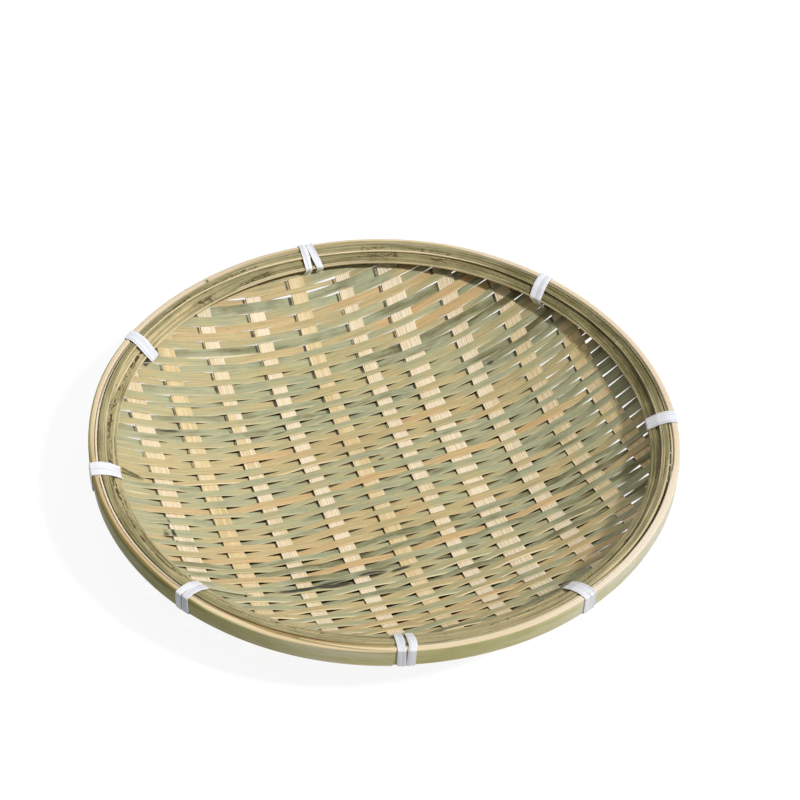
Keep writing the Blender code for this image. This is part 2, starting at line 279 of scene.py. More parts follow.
class Sweep:
    """Gathers swept strips into one mesh. Each strip is a grid whose rows are closed sections."""

    sharp_angle = math.radians(50)

    def __init__(self, name: str) -> None:
        """Starts an empty piece.

        Args:
            name: the name of the object that the piece becomes.
        """
        self.name = name
        self.points: list[Array] = []
        self.quads: list[Array] = []
        self.caps: list[Array] = []
        self.vectors: list[Array] = []
        self.masks: dict[str, list[Array]] = {}
        self.count = 0

    def add(self, points: Array, strip: Array, closed: bool = False, **masks: Array) -> None:
        """Adds one strip, turned so that its faces look outwards.

        Args:
            points: its grid, stations by section points by 3.
            strip: for each point, the place along, the place across and the strip's own number.
            closed: True where the last station joins the first.
            masks: named values for each point, which the finishes read.
        """
        stations, around = points.shape[:2]
        number = np.arange(stations * around).reshape(stations, around)
        after = np.roll(number, -1, 1)
        ring = [number, after, np.roll(after, -1, 0), np.roll(number, -1, 0)]
        steps = stations if closed else stations - 1
        quads = np.stack([corner[:steps] for corner in ring], -1).reshape(-1, 4)
        caps = [] if closed else [number[0, ::-1], number[-1]]
        flat = points.reshape(-1, 3)
        first, second, third, fourth = np.moveaxis(flat[quads] - flat.mean(0), 1, 0)
        if (first * (np.cross(second, third) + np.cross(third, fourth))).sum() < 0:
            quads = quads[:, ::-1]
            caps = [cap[::-1] for cap in caps]
        self.points.append(flat)
        self.quads.append(quads + self.count)
        self.caps.extend(cap + self.count for cap in caps)
        self.vectors.append(np.broadcast_to(strip, points.shape).reshape(-1, 3))
        for mask, values in masks.items():
            whole = np.broadcast_to(values, points.shape[:2]).reshape(-1)
            self.masks.setdefault(mask, []).append(whole)
        self.count += len(flat)

    def finish(self, material: Material, slot: Slot, *nodes: str) -> None:
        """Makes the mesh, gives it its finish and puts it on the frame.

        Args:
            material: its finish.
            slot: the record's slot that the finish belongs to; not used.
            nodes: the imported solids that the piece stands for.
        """
        mesh = bpy.data.meshes.new(self.name)
        quads = np.concatenate(self.quads)
        corners = np.concatenate([quads.reshape(-1), *self.caps]).astype(np.int32)
        sizes = np.array([4] * len(quads) + [len(cap) for cap in self.caps])
        starts = np.concatenate([[0], np.cumsum(sizes)[:-1]])
        mesh.vertices.add(self.count)
        mesh.vertices.foreach_set("co", np.concatenate(self.points).astype(np.float32).ravel())
        mesh.loops.add(len(corners))
        mesh.loops.foreach_set("vertex_index", corners)
        mesh.polygons.add(len(sizes))
        mesh.polygons.foreach_set("loop_start", starts.astype(np.int32))
        mesh.polygons.foreach_set("use_smooth", np.ones(len(sizes), bool))
        mesh.update(calc_edges=True)
        mesh.validate()
        mesh.set_sharp_from_angle(angle=self.sharp_angle)
        place = mesh.attributes.new("strip", "FLOAT_VECTOR", "POINT")
        place.data.foreach_set("vector", np.concatenate(self.vectors).astype(np.float32).ravel())
        for mask, values in self.masks.items():
            layer = mesh.attributes.new(mask, "FLOAT", "POINT")
            layer.data.foreach_set("value", np.concatenate(values).astype(np.float32))
        mesh.materials.append(material)
        piece = bpy.data.objects.new(self.name, mesh)
        bpy.context.scene.collection.objects.link(piece)
        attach(piece, "root")
        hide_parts(*nodes)
        log.info("%s: %d faces for %s", self.name, len(sizes), ", ".join(nodes))


class NodeSheet:
    """Places and joins nodes in one tree, so that a finish reads as a short recipe."""

    def __init__(self, tree: Tree) -> None:
        """Works on a tree.

        Args:
            tree: the tree that takes the nodes.
        """
        self.tree = tree

    def add(self, kind: str, settings: dict | None = None, inputs: dict | None = None) -> Node:
        """Adds a node.

        Args:
            kind: its type, without the words ShaderNode in front.
            settings: values for its own properties.
            inputs: values or sockets for its inputs, by name or number.

        Returns:
            The node.
        """
        node = self.tree.nodes.new(kind if kind.startswith("NodeGroup") else "ShaderNode" + kind)
        for name, value in (settings or {}).items():
            setattr(node, name, value)
        for name, value in (inputs or {}).items():
            self.feed(node.inputs[name], value)
        return node

    def feed(self, socket: Socket, value: object) -> None:
        """Joins a socket to an input, or sets the input to a plain value."""
        if isinstance(value, Socket):
            self.tree.links.new(value, socket)
        else:
            socket.default_value = value

    def sum_of(self, operation: str, *values: object) -> Socket:
        """A sum on one, two or three values, such as ADD, MULTIPLY or MULTIPLY_ADD."""
        return self.add("Math", {"operation": operation}, dict(enumerate(values))).outputs[0]

    def times(self, first: object, second: object) -> Socket:
        """One value multiplied by another."""
        return self.sum_of("MULTIPLY", first, second)

    def times_plus(self, first: object, second: object, third: object) -> Socket:
        """One value multiplied by another, plus a third."""
        return self.sum_of("MULTIPLY_ADD", first, second, third)

    def between(
        self, value: object, low: float, high: float, start: float = 0.0, end: float = 1.0
    ) -> Socket:
        """Maps low to high smoothly onto start to end."""
        inputs = {"Value": value, "From Min": low, "From Max": high, "To Min": start, "To Max": end}
        return self.add("MapRange", {"interpolation_type": "SMOOTHSTEP"}, inputs).outputs[0]

    def vector_sum(self, operation: str, first: object, second: object) -> Node:
        """The node of a sum on two vectors, such as MULTIPLY, DISTANCE or DOT_PRODUCT."""
        return self.add("VectorMath", {"operation": operation}, {0: first, 1: second})

    def vector_of(self, x: object = 0.0, y: object = 0.0, z: object = 0.0) -> Socket:
        """A vector from its three parts."""
        return self.add("CombineXYZ", None, {0: x, 1: y, 2: z}).outputs[0]

    def noise(self, vector: object, detail: float, roughness: float) -> Socket:
        """Smooth noise from 0 to 1 at a vector."""
        inputs = {"Vector": vector, "Scale": 1.0, "Detail": detail, "Roughness": roughness}
        return self.add("TexNoise", None, inputs).outputs[0]

    def blend(self, share: object, first: object, second: object, mode: str = "MIX") -> Socket:
        """A colour that goes from first to second with share."""
        settings = {"data_type": "RGBA", "blend_type": mode, "clamp_factor": True}
        return self.add("Mix", settings, {0: share, 6: first, 7: second}).outputs[2]

    def ramp(self, value: object, stops: Tones) -> Socket:
        """A colour read off a row of colour stops, each a place and a colour."""
        node = self.add("ValToRGB", None, {0: value})
        elements = node.color_ramp.elements
        while len(elements) < len(stops):
            elements.new(0.5)
        for element, (place, colour) in zip(elements, stops):
            element.position = place
            element.color = colour
        return node.outputs[0]

    def mask(self, name: str) -> Socket:
        """A value that the piece's mesh carries at each point."""
        return self.add("Attribute", {"attribute_name": name}).outputs["Fac"]

    def strip(self) -> Socket:
        """The place along and across the strip, and the strip's own number."""
        return self.add("Attribute", {"attribute_name": "strip"}).outputs["Vector"]

    def effect(self, group: Tree, **inputs: object) -> Node:
        """Places a shared effect, with its inputs by name."""
        return self.add("Group", {"node_tree": group}, inputs)


class BambooEffects:
    """The effects that several finishes share: grain along a strip, broad patches, dark flecks."""

    bend_pitch = 45.0
    strip_step = 3.7

    def __init__(self) -> None:
        """Builds the three groups once."""
        self.grain = self._grain()
        self.patches = self._patches()
        self.flecks = self._flecks()

    def _group(
        self, name: str, inputs: dict[str, float | None], outputs: tuple[str, ...]
    ) -> tuple[Tree, NodeSheet, Node, Node]:
        """Starts a group with named sockets.

        Args:
            name: the group's name.
            inputs: each input's name, with its value, or None for a vector.
            outputs: the names of its values.

        Returns:
            The group, its sheet, the node of its inputs and the node of its outputs.
        """
        group = bpy.data.node_groups.new(name, "ShaderNodeTree")
        for label, value in inputs.items():
            kind = "NodeSocketVector" if value is None else "NodeSocketFloat"
            socket = group.interface.new_socket(name=label, in_out="INPUT", socket_type=kind)
            if value is not None:
                socket.default_value = value
        for label in outputs:
            group.interface.new_socket(name=label, in_out="OUTPUT", socket_type="NodeSocketFloat")
        sheet = NodeSheet(group)
        return group, sheet, sheet.add("NodeGroupInput"), sheet.add("NodeGroupOutput")

    def _lengthwise(
        self, sheet: NodeSheet, source: object, along: object, across: object, wobble: float
    ) -> Socket:
        """The strip's place, stretched by along and across, its lines bent from side to side."""
        length, side, number = sheet.add("SeparateXYZ", None, {0: source}).outputs
        slow = sheet.vector_of(sheet.times(length, self.bend_pitch), z=number)
        sway = sheet.sum_of("SUBTRACT", sheet.noise(slow, 2.0, 0.5), 0.5)
        bent = sheet.sum_of("ADD", side, sheet.times(sway, wobble))
        own = sheet.times(number, self.strip_step)
        return sheet.vector_of(sheet.times(length, along), sheet.times(bent, across), own)

    def _grain(self) -> Tree:
        """Fine fibres and wider streaks: noise that is drawn out along the strip."""
        inputs = {"Strip": None, "Along": 45.0, "Across": 3800.0}
        outputs = ("Fibre", "Streak", "Height")
        group, sheet, given, made = self._group("bamboo_grain", inputs, outputs)
        strip, along, across = given.outputs[:3]
        fine = sheet.noise(self._lengthwise(sheet, strip, along, across, 0.25 * MM), 3.0, 0.65)
        wide_along, wide_across = sheet.times(along, 0.45), sheet.times(across, 0.28)
        wide_place = self._lengthwise(sheet, strip, wide_along, wide_across, 0.3 * MM)
        wide = sheet.noise(wide_place, 2.0, 0.5)
        height = sheet.times_plus(fine, 0.65, sheet.times(wide, 0.35))
        sheet.feed(made.inputs["Fibre"], sheet.between(fine, 0.32, 0.66))
        sheet.feed(made.inputs["Streak"], sheet.between(wide, 0.34, 0.64))
        sheet.feed(made.inputs["Height"], height)
        return group

    def _patches(self) -> Tree:
        """Broad patches of tone, several times as long as they are wide."""
        inputs = {"Strip": None, "Size": 1.0}
        group, sheet, given, made = self._group("bamboo_patches", inputs, ("Patch",))
        strip, size = given.outputs[:2]
        along, across = (sheet.sum_of("DIVIDE", pitch, size) for pitch in (85.0, 230.0))
        noise = sheet.noise(self._lengthwise(sheet, strip, along, across, 0.5 * MM), 4.0, 0.6)
        sheet.feed(made.inputs["Patch"], sheet.between(noise, 0.3, 0.7))
        return group

    def _flecks(self) -> Tree:
        """Small dark flecks: the peaks of a noise that is a little longer than wide."""
        inputs = {"Strip": None, "Density": 1500.0, "Threshold": 0.66}
        group, sheet, given, made = self._group("bamboo_flecks", inputs, ("Fleck",))
        strip, density, threshold = given.outputs[:3]
        place = self._lengthwise(sheet, strip, sheet.times(density, 0.35), density, 0.0)
        above = sheet.sum_of("SUBTRACT", sheet.noise(place, 2.0, 0.55), threshold)
        sheet.feed(made.inputs["Fleck"], sheet.between(above, 0.0, 0.07))
        return group


def new_finish(slot: Slot) -> tuple[Material, NodeSheet, Node]:
    """Starts a material with an empty Principled shader.

    Args:
        slot: the slot whose name it takes.

    Returns:
        The material, a sheet on its tree and its shader.
    """
    material = bpy.data.materials.new(slot.value)
    material.use_nodes = True
    return material, NodeSheet(material.node_tree), material.node_tree.nodes["Principled BSDF"]


@dataclass(frozen=True)
class SplitBamboo:
    """A split strip: green to tan, fibre streaks, cut edges, stains, painted light and shade."""

    slot: Slot
    tones: Tones
    cut_colour: Colour = srgb(240, 224, 186)
    cut_streak_colour: Colour = srgb(206, 176, 122)
    # Near white: the painted highlight that the pale cut is lifted towards.
    painted_highlight_colour: Colour = srgb(255, 246, 238)
    # Dark colour of real stains, and of the painted shade at the wefts' creases.
    stain_and_shade_colour: Colour = srgb(66, 66, 54)
    fleck_colour: Colour = srgb(104, 88, 54)
    # Brown: painted shade in the grooves of warps and bands, and the hoop's tints.
    groove_shade_and_tint_colour: Colour = srgb(150, 118, 66)
    # Pale tint, which also paints the light on the wefts' left side.
    tint_and_painted_light_colour: Colour = srgb(226, 220, 184)
    grain_depth: float = 0.24
    grain_across: float = 2700.0
    patch_share: float = 0.26
    streak_share: float = 0.1
    cut_streak_share: float = 0.25
    fleck_share: float = 0.35
    fleck_threshold: float = 0.66
    speck_drop: float = 0.23
    roughness: float = 0.52
    fibre_gloss: float = 0.16
    cut_roughness: float = 0.15
    shine: float = 0.22
    bump: float = 0.35
    bump_distance: float = 0.12 * MM

    def make(self, effects: BambooEffects) -> Material:
        """Builds the material.

        Args:
            effects: the shared groups.

        Returns:
            The material, which reads the masks tone, cut, bright, bleach, speck, stain and hollow.
        """
        material, sheet, shader = new_finish(self.slot)
        strip, speck, stain_and_shade, cut = sheet.strip(), *map(sheet.mask, ("speck", "stain_and_shade", "cut"))
        grain = sheet.effect(effects.grain, Strip=strip, Across=self.grain_across)
        fibre, streak, height = grain.outputs
        patch = sheet.effect(effects.patches, Strip=strip).outputs[0]
        threshold = sheet.times_plus(speck, -self.speck_drop, self.fleck_threshold)
        fleck = sheet.effect(effects.flecks, Strip=strip, Threshold=threshold).outputs[0]
        tone = sheet.mask("tone")
        for effect, share in ((patch, self.patch_share), (streak, self.streak_share)):
            tone = sheet.times_plus(sheet.sum_of("SUBTRACT", effect, 0.5), share, tone)
        shade = sheet.between(fibre, 0.0, 1.0, 1.0 - self.grain_depth, 1.0)
        grey = sheet.vector_of(shade, shade, shade)
        colour = sheet.blend(1.0, sheet.ramp(tone, self.tones), grey, "MULTIPLY")
        # Pale tints, and on the wefts the painted light on the left.
        colour = sheet.blend(sheet.mask("tint_and_painted_light"), colour, self.tint_and_painted_light_colour)
        shown = sheet.times(fleck, sheet.times_plus(speck, 1 - self.fleck_share, self.fleck_share))
        colour = sheet.blend(shown, colour, self.fleck_colour)
        # Real stains, and on the wefts the painted shade where they dive under a warp, darken the
        # colour.
        ragged = sheet.between(sheet.times_plus(patch, 0.55, stain_and_shade), 0.45, 1.05)
        stained_and_shaded = sheet.times(ragged, sheet.between(stain_and_shade, 0.02, 0.3))
        colour = sheet.blend(stained_and_shaded, colour, self.stain_and_shade_colour)
        lines = sheet.times(streak, self.cut_streak_share)
        pale = sheet.blend(lines, self.cut_colour, self.cut_streak_colour)
        # Painted highlight on the pale cut.
        pale = sheet.blend(sheet.mask("painted_highlight"), pale, self.painted_highlight_colour)
        colour = sheet.blend(cut, colour, pale)
        # Painted shade in the grooves, and the hoop's brown tints.
        colour = sheet.blend(sheet.mask("hollow"), colour, self.groove_shade_and_tint_colour)
        rough = sheet.times_plus(fibre, -self.fibre_gloss, self.roughness + 0.12)
        rough = sheet.times_plus(cut, self.cut_roughness, rough)
        look = {"Strength": self.bump, "Distance": self.bump_distance, "Height": height}
        sheet.feed(shader.inputs["Base Color"], colour)
        sheet.feed(shader.inputs["Roughness"], rough)
        sheet.feed(shader.inputs["Normal"], sheet.add("Bump", None, look).outputs[0])
        shader.inputs["Specular IOR Level"].default_value = self.shine
        return material


@dataclass(frozen=True)
class WhiteRibbon:
    """Flat white plastic ribbon with faint lines along it and a soft gloss."""

    colour: Colour = srgb(240, 241, 246)
    line_colour: Colour = srgb(196, 198, 208)
    patch_colour: Colour = srgb(214, 212, 206)
    line_share: float = 0.55
    patch_share: float = 0.12
    dull: float = 0.5
    glossy: float = 0.36
    bump: float = 0.45
    bump_distance: float = 0.1 * MM

    def make(self, effects: BambooEffects) -> Material:
        """Builds the material.

        Args:
            effects: the shared groups.

        Returns:
            The material.
        """
        material, sheet, shader = new_finish(Slot.RIBBON)
        strip = sheet.strip()
        grain = sheet.effect(effects.grain, Strip=strip, Along=60.0, Across=3000.0)
        fibre, streak, height = grain.outputs
        patch = sheet.effect(effects.patches, Strip=strip, Size=0.4).outputs[0]
        lines = sheet.times(sheet.between(streak, 0.0, 0.7, 1.0, 0.0), self.line_share)
        colour = sheet.blend(lines, self.colour, self.line_colour)
        colour = sheet.blend(sheet.times(patch, self.patch_share), colour, self.patch_colour)
        rough = sheet.between(fibre, 0.0, 1.0, self.dull, self.glossy)
        look = {"Strength": self.bump, "Distance": self.bump_distance, "Height": height}
        sheet.feed(shader.inputs["Base Color"], colour)
        sheet.feed(shader.inputs["Roughness"], rough)
        sheet.feed(shader.inputs["Normal"], sheet.add("Bump", None, look).outputs[0])
        return material


@dataclass(frozen=True)
class Finishes:
    """Every finish of the basket, made once."""

    skin: Material
    band: Material
    warp: Material
    green_weft: Material
    tan_weft: Material
    ribbon: Material

    @classmethod
    def make(cls) -> "Finishes":
        """Builds the shared effects and then each finish with its own values."""
        effects = BambooEffects()
        weft_tones = tone_row(
            (0.0, 110, 104, 66), (0.16, 148, 146, 110), (0.32, 173, 175, 141),
            (0.46, 185, 180, 138), (0.6, 196, 180, 131), (0.8, 210, 185, 134), (1.0, 216, 182, 130),
        )
        warp_tones = tone_row((0.0, 210, 184, 128), (0.5, 232, 209, 160), (1.0, 249, 232, 202))
        band_tones = tone_row(
            (0.0, 80, 75, 42), (0.3, 127, 121, 79), (0.55, 163, 155, 113), (0.8, 194, 182, 138),
            (1.0, 218, 198, 150),
        )
        # The palest tones paint the light on the hoop's lit front right.
        skin_tones_and_painted_light = tone_row(
            (0.0, 112, 108, 60), (0.3, 149, 147, 86), (0.5, 186, 181, 120), (0.7, 204, 198, 146),
            (0.85, 219, 212, 174), (1.0, 231, 226, 205),
        )
        skin = SplitBamboo(
            Slot.SKIN, skin_tones_and_painted_light, cut_colour=srgb(234, 212, 172), grain_depth=0.12,
            grain_across=2600.0, patch_share=0.16, fleck_share=0.2, fleck_threshold=0.7,
            roughness=0.42, shine=0.14, bump=0.15,
        )
        band = SplitBamboo(
            Slot.BAND, band_tones, fleck_colour=srgb(74, 64, 36), tint_and_painted_light_colour=srgb(192, 150, 72),
            grain_depth=0.3, grain_across=1900.0, streak_share=0.3, fleck_share=0.45,
            roughness=0.5, bump=0.5,
        )
        warp = SplitBamboo(
            Slot.WARP, warp_tones, grain_depth=0.14, grain_across=3400.0, patch_share=0.3,
            streak_share=0.3, fleck_share=0.08, roughness=0.55, bump=0.3,
        )
        green_weft = SplitBamboo(Slot.GREEN_WEFT, weft_tones)
        tan_weft = SplitBamboo(Slot.TAN_WEFT, weft_tones, fleck_colour=srgb(120, 84, 44))
        recipes = (skin, band, warp, green_weft, tan_weft, WhiteRibbon())
        return cls(*(recipe.make(effects) for recipe in recipes))


@dataclass(frozen=True)
class Stretch:
    """A length of the weft or slit nearest to v0 at the middle, from u0 to u1, with an amount."""

    v0: float
    u0: float
    u1: float
    amount: float


@dataclass(frozen=True)
class Stain:
    """A dark mark on the mat at (u, v), with its half length, half width and depth."""

    u: float
    v: float
    along: float
    across: float
    depth: float


@dataclass(frozen=True)
class Splinter:
    """A loose bit of bamboo on a weft: its ends on the mat, its width, its tone and how pale it is.
    """

    weft: int
    start: tuple[float, float]
    end: tuple[float, float]
    width: float
    tone: float
    tint_and_painted_light: float


@dataclass(frozen=True)
class Weave:
    """The plain weave: where each strip lies on the flat mat, and how wefts and warps pass.

    The tables of stretches, stains and splinters are in millimetres.
    """

    bowl: BowlShape = BowlShape()
    wefts_each_side: int = 34
    weft_margin: float = 3.8 * MM
    weft_lean: float = 0.05
    weft_thickness: float = 0.42 * MM
    weft_slack: float = 0.26 * MM
    weft_step: float = 0.7 * MM
    wave_clear: float = 0.4 * MM
    wave_end: float = 7.0 * MM
    wave_power: float = 1.15
    splay_towards: float = math.radians(38)
    # These three set the painted shade that a warp's left edge casts on the weft diving under it.
    crease_shade_depth: float = 0.88
    crease_shade_out: float = 0.26 * MM
    crease_shade_half: float = 0.44 * MM
    loose_height: float = 1.15 * MM
    loose_half_depth: float = 0.12 * MM
    warp_thickness: float = 0.5 * MM
    warp_width: float = 6.9 * MM
    warp_offset: float = 5.4 * MM
    warp_margin: float = 16.6 * MM
    warp_lean: float = 0.008
    warp_step: float = 1.1 * MM
    groove_depth: float = 0.13 * MM
    # Strength of the painted shade in the warps' grooves.
    groove_shade: float = 0.62
    warp_shifts: tuple[float, ...] = (0.0, -0.09, -0.08, 0.05, 0.06, 0.07, 0.03, 0.1, 0.11, 0.01)
    warp_widths: tuple[float, ...] = (1.1, 1.0, 0.9, 0.94, 1.0, 0.92, 1.28, 0.97, 0.95, 1.02)
    warp_tones: tuple[float, ...] = (0.84, 0.46, 0.82, 0.95, 0.5, 0.92, 0.98, 0.9, 0.6, 0.46)
    warp_grooves: tuple[float, ...] = (1.0, 0.35, 0.9, 0.8, 0.4, 1.0, 1.0, 1.0, 0.9, 0.8)
    stretches: tuple[Stretch, ...] = rows_of(
        Stretch,
        (4.8, -98, 92, 0.4), (-18.0, -98, 15, 0.36), (-24.5, -98, -26, 0.42),
        (-14.5, -25, 45, 0.26), (-35.5, -90, 62, 0.34), (-40.5, -80, -52, 0.2),
        (-48.3, -72, 85, 0.34), (-58.5, -78, 84, 0.4), (-77.3, -58, 78, 0.46),
        (93.4, -64, 40, 0.45), (78.5, 26, 78, 0.48), (72.0, 36, 84, 0.46), (52.5, 0, 104, 0.3),
        (30.6, -50, -26, 0.34), (30.6, 18, 38, 0.3), (45.0, 32, 58, 0.34), (62.8, 16, 92, -0.24),
        (-44.5, -64, 34, -0.12), (-30.0, 60, 104, -0.16), (-42.5, 60, 100, -0.22),
        (-67.0, -40, 20, -0.1), (38.0, -96, -20, 0.06), (101.5, -64, -8, 0.26),
        (104.8, -50, 4, 0.24), (66.0, 24, 86, -0.16), (76.5, 76, 88, -0.25), (95.2, 38, 54, 0.36),
        (-52.3, 90, 100, 0.4), (-57.9, 80, 94, -0.2),
    )
    stains: tuple[Stain, ...] = rows_of(
        Stain,
        (-50, -48.4, 9, 1.4, 1.1), (-37, -47.6, 8, 2.0, 1.5), (-19.5, -45.6, 6, 1.1, 1.1),
        (-8, -46.6, 5, 0.9, 0.9), (1, -26.5, 5, 1.0, 0.6), (5, 14, 1.6, 0.8, 0.6),
        (-49.5, 0, 2.5, 0.9, 0.5), (-89.6, -5.5, 0.8, 3.0, 0.7), (-89.3, -14.5, 0.9, 4.0, 1.2),
        (-92.0, -14.0, 1.4, 3.5, 0.5), (10, -45.6, 7, 0.8, 0.55), (24, -46.0, 5, 0.8, 0.5),
        (-31, 39.6, 5, 0.8, 0.7), (-15, 39.8, 7, 0.6, 0.6), (4, 41.6, 5, 0.8, 0.5),
        (20, 43.2, 4, 0.9, 0.6), (64.6, 45.4, 1.9, 1.0, 1.0), (-80, 43.6, 9, 0.9, 0.6),
        (-33, -70.6, 4, 0.7, 0.5), (17, -80.6, 6, 1.0, 0.45), (74, -20.6, 5, 0.9, 0.45),
        (-48, -12.4, 5, 0.9, 0.35),
    )
    pale_edges: tuple[Stretch, ...] = rows_of(
        Stretch,
        (19.6, -92, 46, 1.0), (-24.5, -98, -78, 0.9), (-62.0, -72, -50, 0.9), (-59.0, 20, 45, 0.9),
        (-68.5, 5, 30, 0.8), (-52.5, -5, 30, 0.6), (12.9, -102, -92, 0.9), (83.5, -60, -25, 0.8),
    )
    slits: tuple[Stretch, ...] = rows_of(
        Stretch,
        (101.4, -14, 12, 0.34), (104.3, 6, 18, 0.3), (97.4, 8, 18, 0.26), (103.6, -34, -24, 0.24),
        (36.0, 96, 108, 0.36), (29.0, 98, 108, 0.36), (24.6, 98, 108, 0.36),
    )
    splinters: tuple[Splinter, ...] = rows_of(
        Splinter,
        (19, (-88.5, -46.6), (-69.0, -50.8), 2.7, 0.3, 0.42),
        (40, (-101.5, 19.2), (-94.0, 16.2), 0.7, 0.1, 0.0),
        (40, (-102.0, 17.2), (-94.0, 15.6), 0.6, 0.1, 0.0),
    )

    @property
    def weft_pitch(self) -> float:
        """The step from one weft to the next."""
        return (self.bowl.reach - self.weft_margin) / self.wefts_each_side

    def warp_rows(self) -> tuple[Array, Array]:
        """The place across the mat and the width of each warp."""
        gaps = len(self.warp_shifts) - 1
        pitch = 2 * (self.bowl.bend_start - self.warp_margin) / gaps
        order = np.arange(gaps + 1) - gaps / 2 + np.array(self.warp_shifts)
        return self.warp_offset + pitch * order, self.warp_width * np.array(self.warp_widths)

    def weft_wave(self, u: Array, weft: int) -> Array:
        """How high a weft lies: level over or under each warp, between them a line that is flatter
        half way, and past the last warps back to the middle.

        The line is the distance from half way raised to a power. The mean of five places a little
        before and after each point rounds its corners.

        Args:
            u: places along the weft.
            weft: its number from the near side.

        Returns:
            The wave at each place.
        """
        places, widths = self.warp_rows()
        half = widths / 2 + self.wave_clear
        corners = np.stack([places - half, places + half], 1).reshape(-1)
        ends = corners[0] - self.wave_end, corners[-1] + self.wave_end
        corners = np.concatenate([ends[:1], corners, ends[1:]])
        side = np.where((np.arange(len(places)) + weft) % 2 == 0, -1.0, 1.0)
        heights = np.pad(np.repeat(side, 2), 1)
        offsets = np.array([-0.7, -0.35, 0.0, 0.35, 0.7]) * MM
        line = np.interp(u[:, None] + offsets, corners, heights)
        return (np.sign(line) * np.abs(line) ** self.wave_power).mean(-1)

    def line_at(self, number: float) -> float:
        """Where the line before weft number, or for a half number a weft, crosses the middle."""
        return (number - self.wefts_each_side) * self.weft_pitch

    def boundary(self, number: int, u: Array, side: float) -> Array:
        """The edge that a weft turns to its neighbour: a leaning, slightly wandering line with half
        a slit beside it.

        Args:
            number: the line's number, so that weft n lies between lines n and n + 1.
            u: places along it.
            side: 1 for the edge past the line and -1 for the one before it.

        Returns:
            The edge's place across the mat.
        """
        rng = np.random.default_rng(500 + number)
        shift = float(np.clip(rng.normal(0.0, 0.34), -0.7, 0.7)) * MM
        line = self.line_at(number) + self.weft_lean * u + shift
        line = line + wander(rng, u, 0.09 * MM, 90 * MM)
        distance = np.hypot(u, line)
        facing = np.cos(np.arctan2(line, u) + self.bowl.turn - self.splay_towards)
        splay = ease(distance, 66 * MM, 100 * MM) * np.clip(0.5 + 0.5 * facing, 0, 1) ** 2
        slit = 0.03 * MM - 0.06 * MM * ease(distance, 60 * MM, 85 * MM)
        slit = slit + 0.2 * rng.random() ** 3 * MM * splay
        return line + side * (slit + MM * self.window(self.slits, self.line_at(number), u))

    def span(self, edge: float, lean: float, reach: float) -> tuple[float, float]:
        """Where a leaning line meets the mat's round edge: the roots of the circle's equation.

        Args:
            edge: where the line crosses the middle.
            lean: how far it moves across for each metre along.
            reach: the distance from the middle to the edge.

        Returns:
            The lower and the upper place along it.
        """
        a, b, c = 1 + lean**2, 2 * edge * lean, edge**2 - (reach - 0.2 * MM) ** 2
        root = math.sqrt(b * b - 4 * a * c)
        return (-b - root) / (2 * a), (-b + root) / (2 * a)

    def window(self, stretches: tuple[Stretch, ...], middle: float, u: Array) -> Array:
        """The sum of the stretches on one weft or on one line between two, each with soft ends."""
        total = np.zeros_like(u)
        for item in stretches:
            if abs(middle - item.v0 * MM) <= self.weft_pitch / 2:
                soft = min(5.0, (item.u1 - item.u0) / 3)
                start, end = (
                    ease(u, (edge - soft) * MM, (edge + soft) * MM) for edge in (item.u0, item.u1)
                )
                total += item.amount * (start - end)
        return total

    def painted_crease_shade(self, u: Array, weft: int) -> Array:
        """Painted shade of a warp's left edge on the weft diving under it: a bell at each one."""
        places, widths = self.warp_rows()
        under = (np.arange(len(places)) + weft) % 2 == 0
        away = (u[:, None] - (places - widths / 2 - self.crease_shade_out)[under]) / self.crease_shade_half
        return self.crease_shade_depth * np.exp(-(away**4)).max(-1)

    def stain_at(self, u: Array, v: Array) -> Array:
        """How deep the stains are: at each point the deepest of a set of ovals with soft edges."""
        deepest = np.zeros(np.broadcast_shapes(u.shape, v.shape))
        for item in self.stains:
            oval = ((u / MM - item.u) / item.along) ** 2 + ((v / MM - item.v) / item.across) ** 2
            deepest = np.maximum(deepest, item.depth * np.exp(-(oval**1.4)))
        return deepest

    def weft_strip(self, sweep: Sweep, weft: int) -> None:
        """Adds one weft: a thin strip with a lightly ridged face, carried over and under the warps
        and, at its ends, up against the hoop.

        Args:
            sweep: the piece that takes it.
            weft: its number from the near side.
        """
        rng = np.random.default_rng(9000 + weft)
        across = [-0.9, -0.7, -0.42, -0.14, 0.14, 0.42, 0.7, 0.9, 1, 1, 0.93, 0, -0.93, -1, -1]
        across = np.array(across, float)
        level = np.array([0.9, *[1.0] * 6, 0.9, 0.3, -0.4, -1.0, -1.0, -1.0, -0.4, 0.3])
        edges = np.array([0.35, 0, 0, 0, 0, 0, 0, 0.12, 1.0, 0.9, 0.1, 0, 0.1, 0.9, 1.0])
        near_edge = np.array([1.0, 0.55, *[0.0] * 12, 1.0])
        bowl, middle = self.bowl, self.line_at(weft + 0.5)
        outer = middle + math.copysign(self.weft_pitch / 2 + 0.6 * MM, middle)
        low, high = self.span(outer, self.weft_lean, bowl.tip)
        low, high = low + rng.uniform(0, 0.8) * MM, high - rng.uniform(0, 0.8) * MM
        u = np.linspace(low, high, max(int((high - low) / self.weft_step), 12))
        near, far = self.boundary(weft, u, 1.0), self.boundary(weft + 1, u, -1.0)
        centre, sideways = (near + far)[:, None] / 2, (far - near)[:, None] / 2 * across
        thickness = self.weft_thickness * rng.uniform(0.9, 1.12)
        ridges = np.zeros(len(across))
        ridges[1:7] = rng.normal(0.012, 0.02, 6) * MM
        tilt = wander(rng, u, 0.022, 70 * MM)[:, None]
        slack = self.weft_slack * (1 - 0.75 * ease(np.hypot(u, middle), 50 * MM, 85 * MM))
        height = (self.weft_thickness + self.warp_thickness) / 2 + slack
        distance = np.hypot(u, centre[:, 0])
        upright = ease(distance, bowl.reach - 2.5 * MM, bowl.reach + 0.3 * MM)
        lift = height * self.weft_wave(u, weft) * (1 - upright) - 0.7 * MM * upright
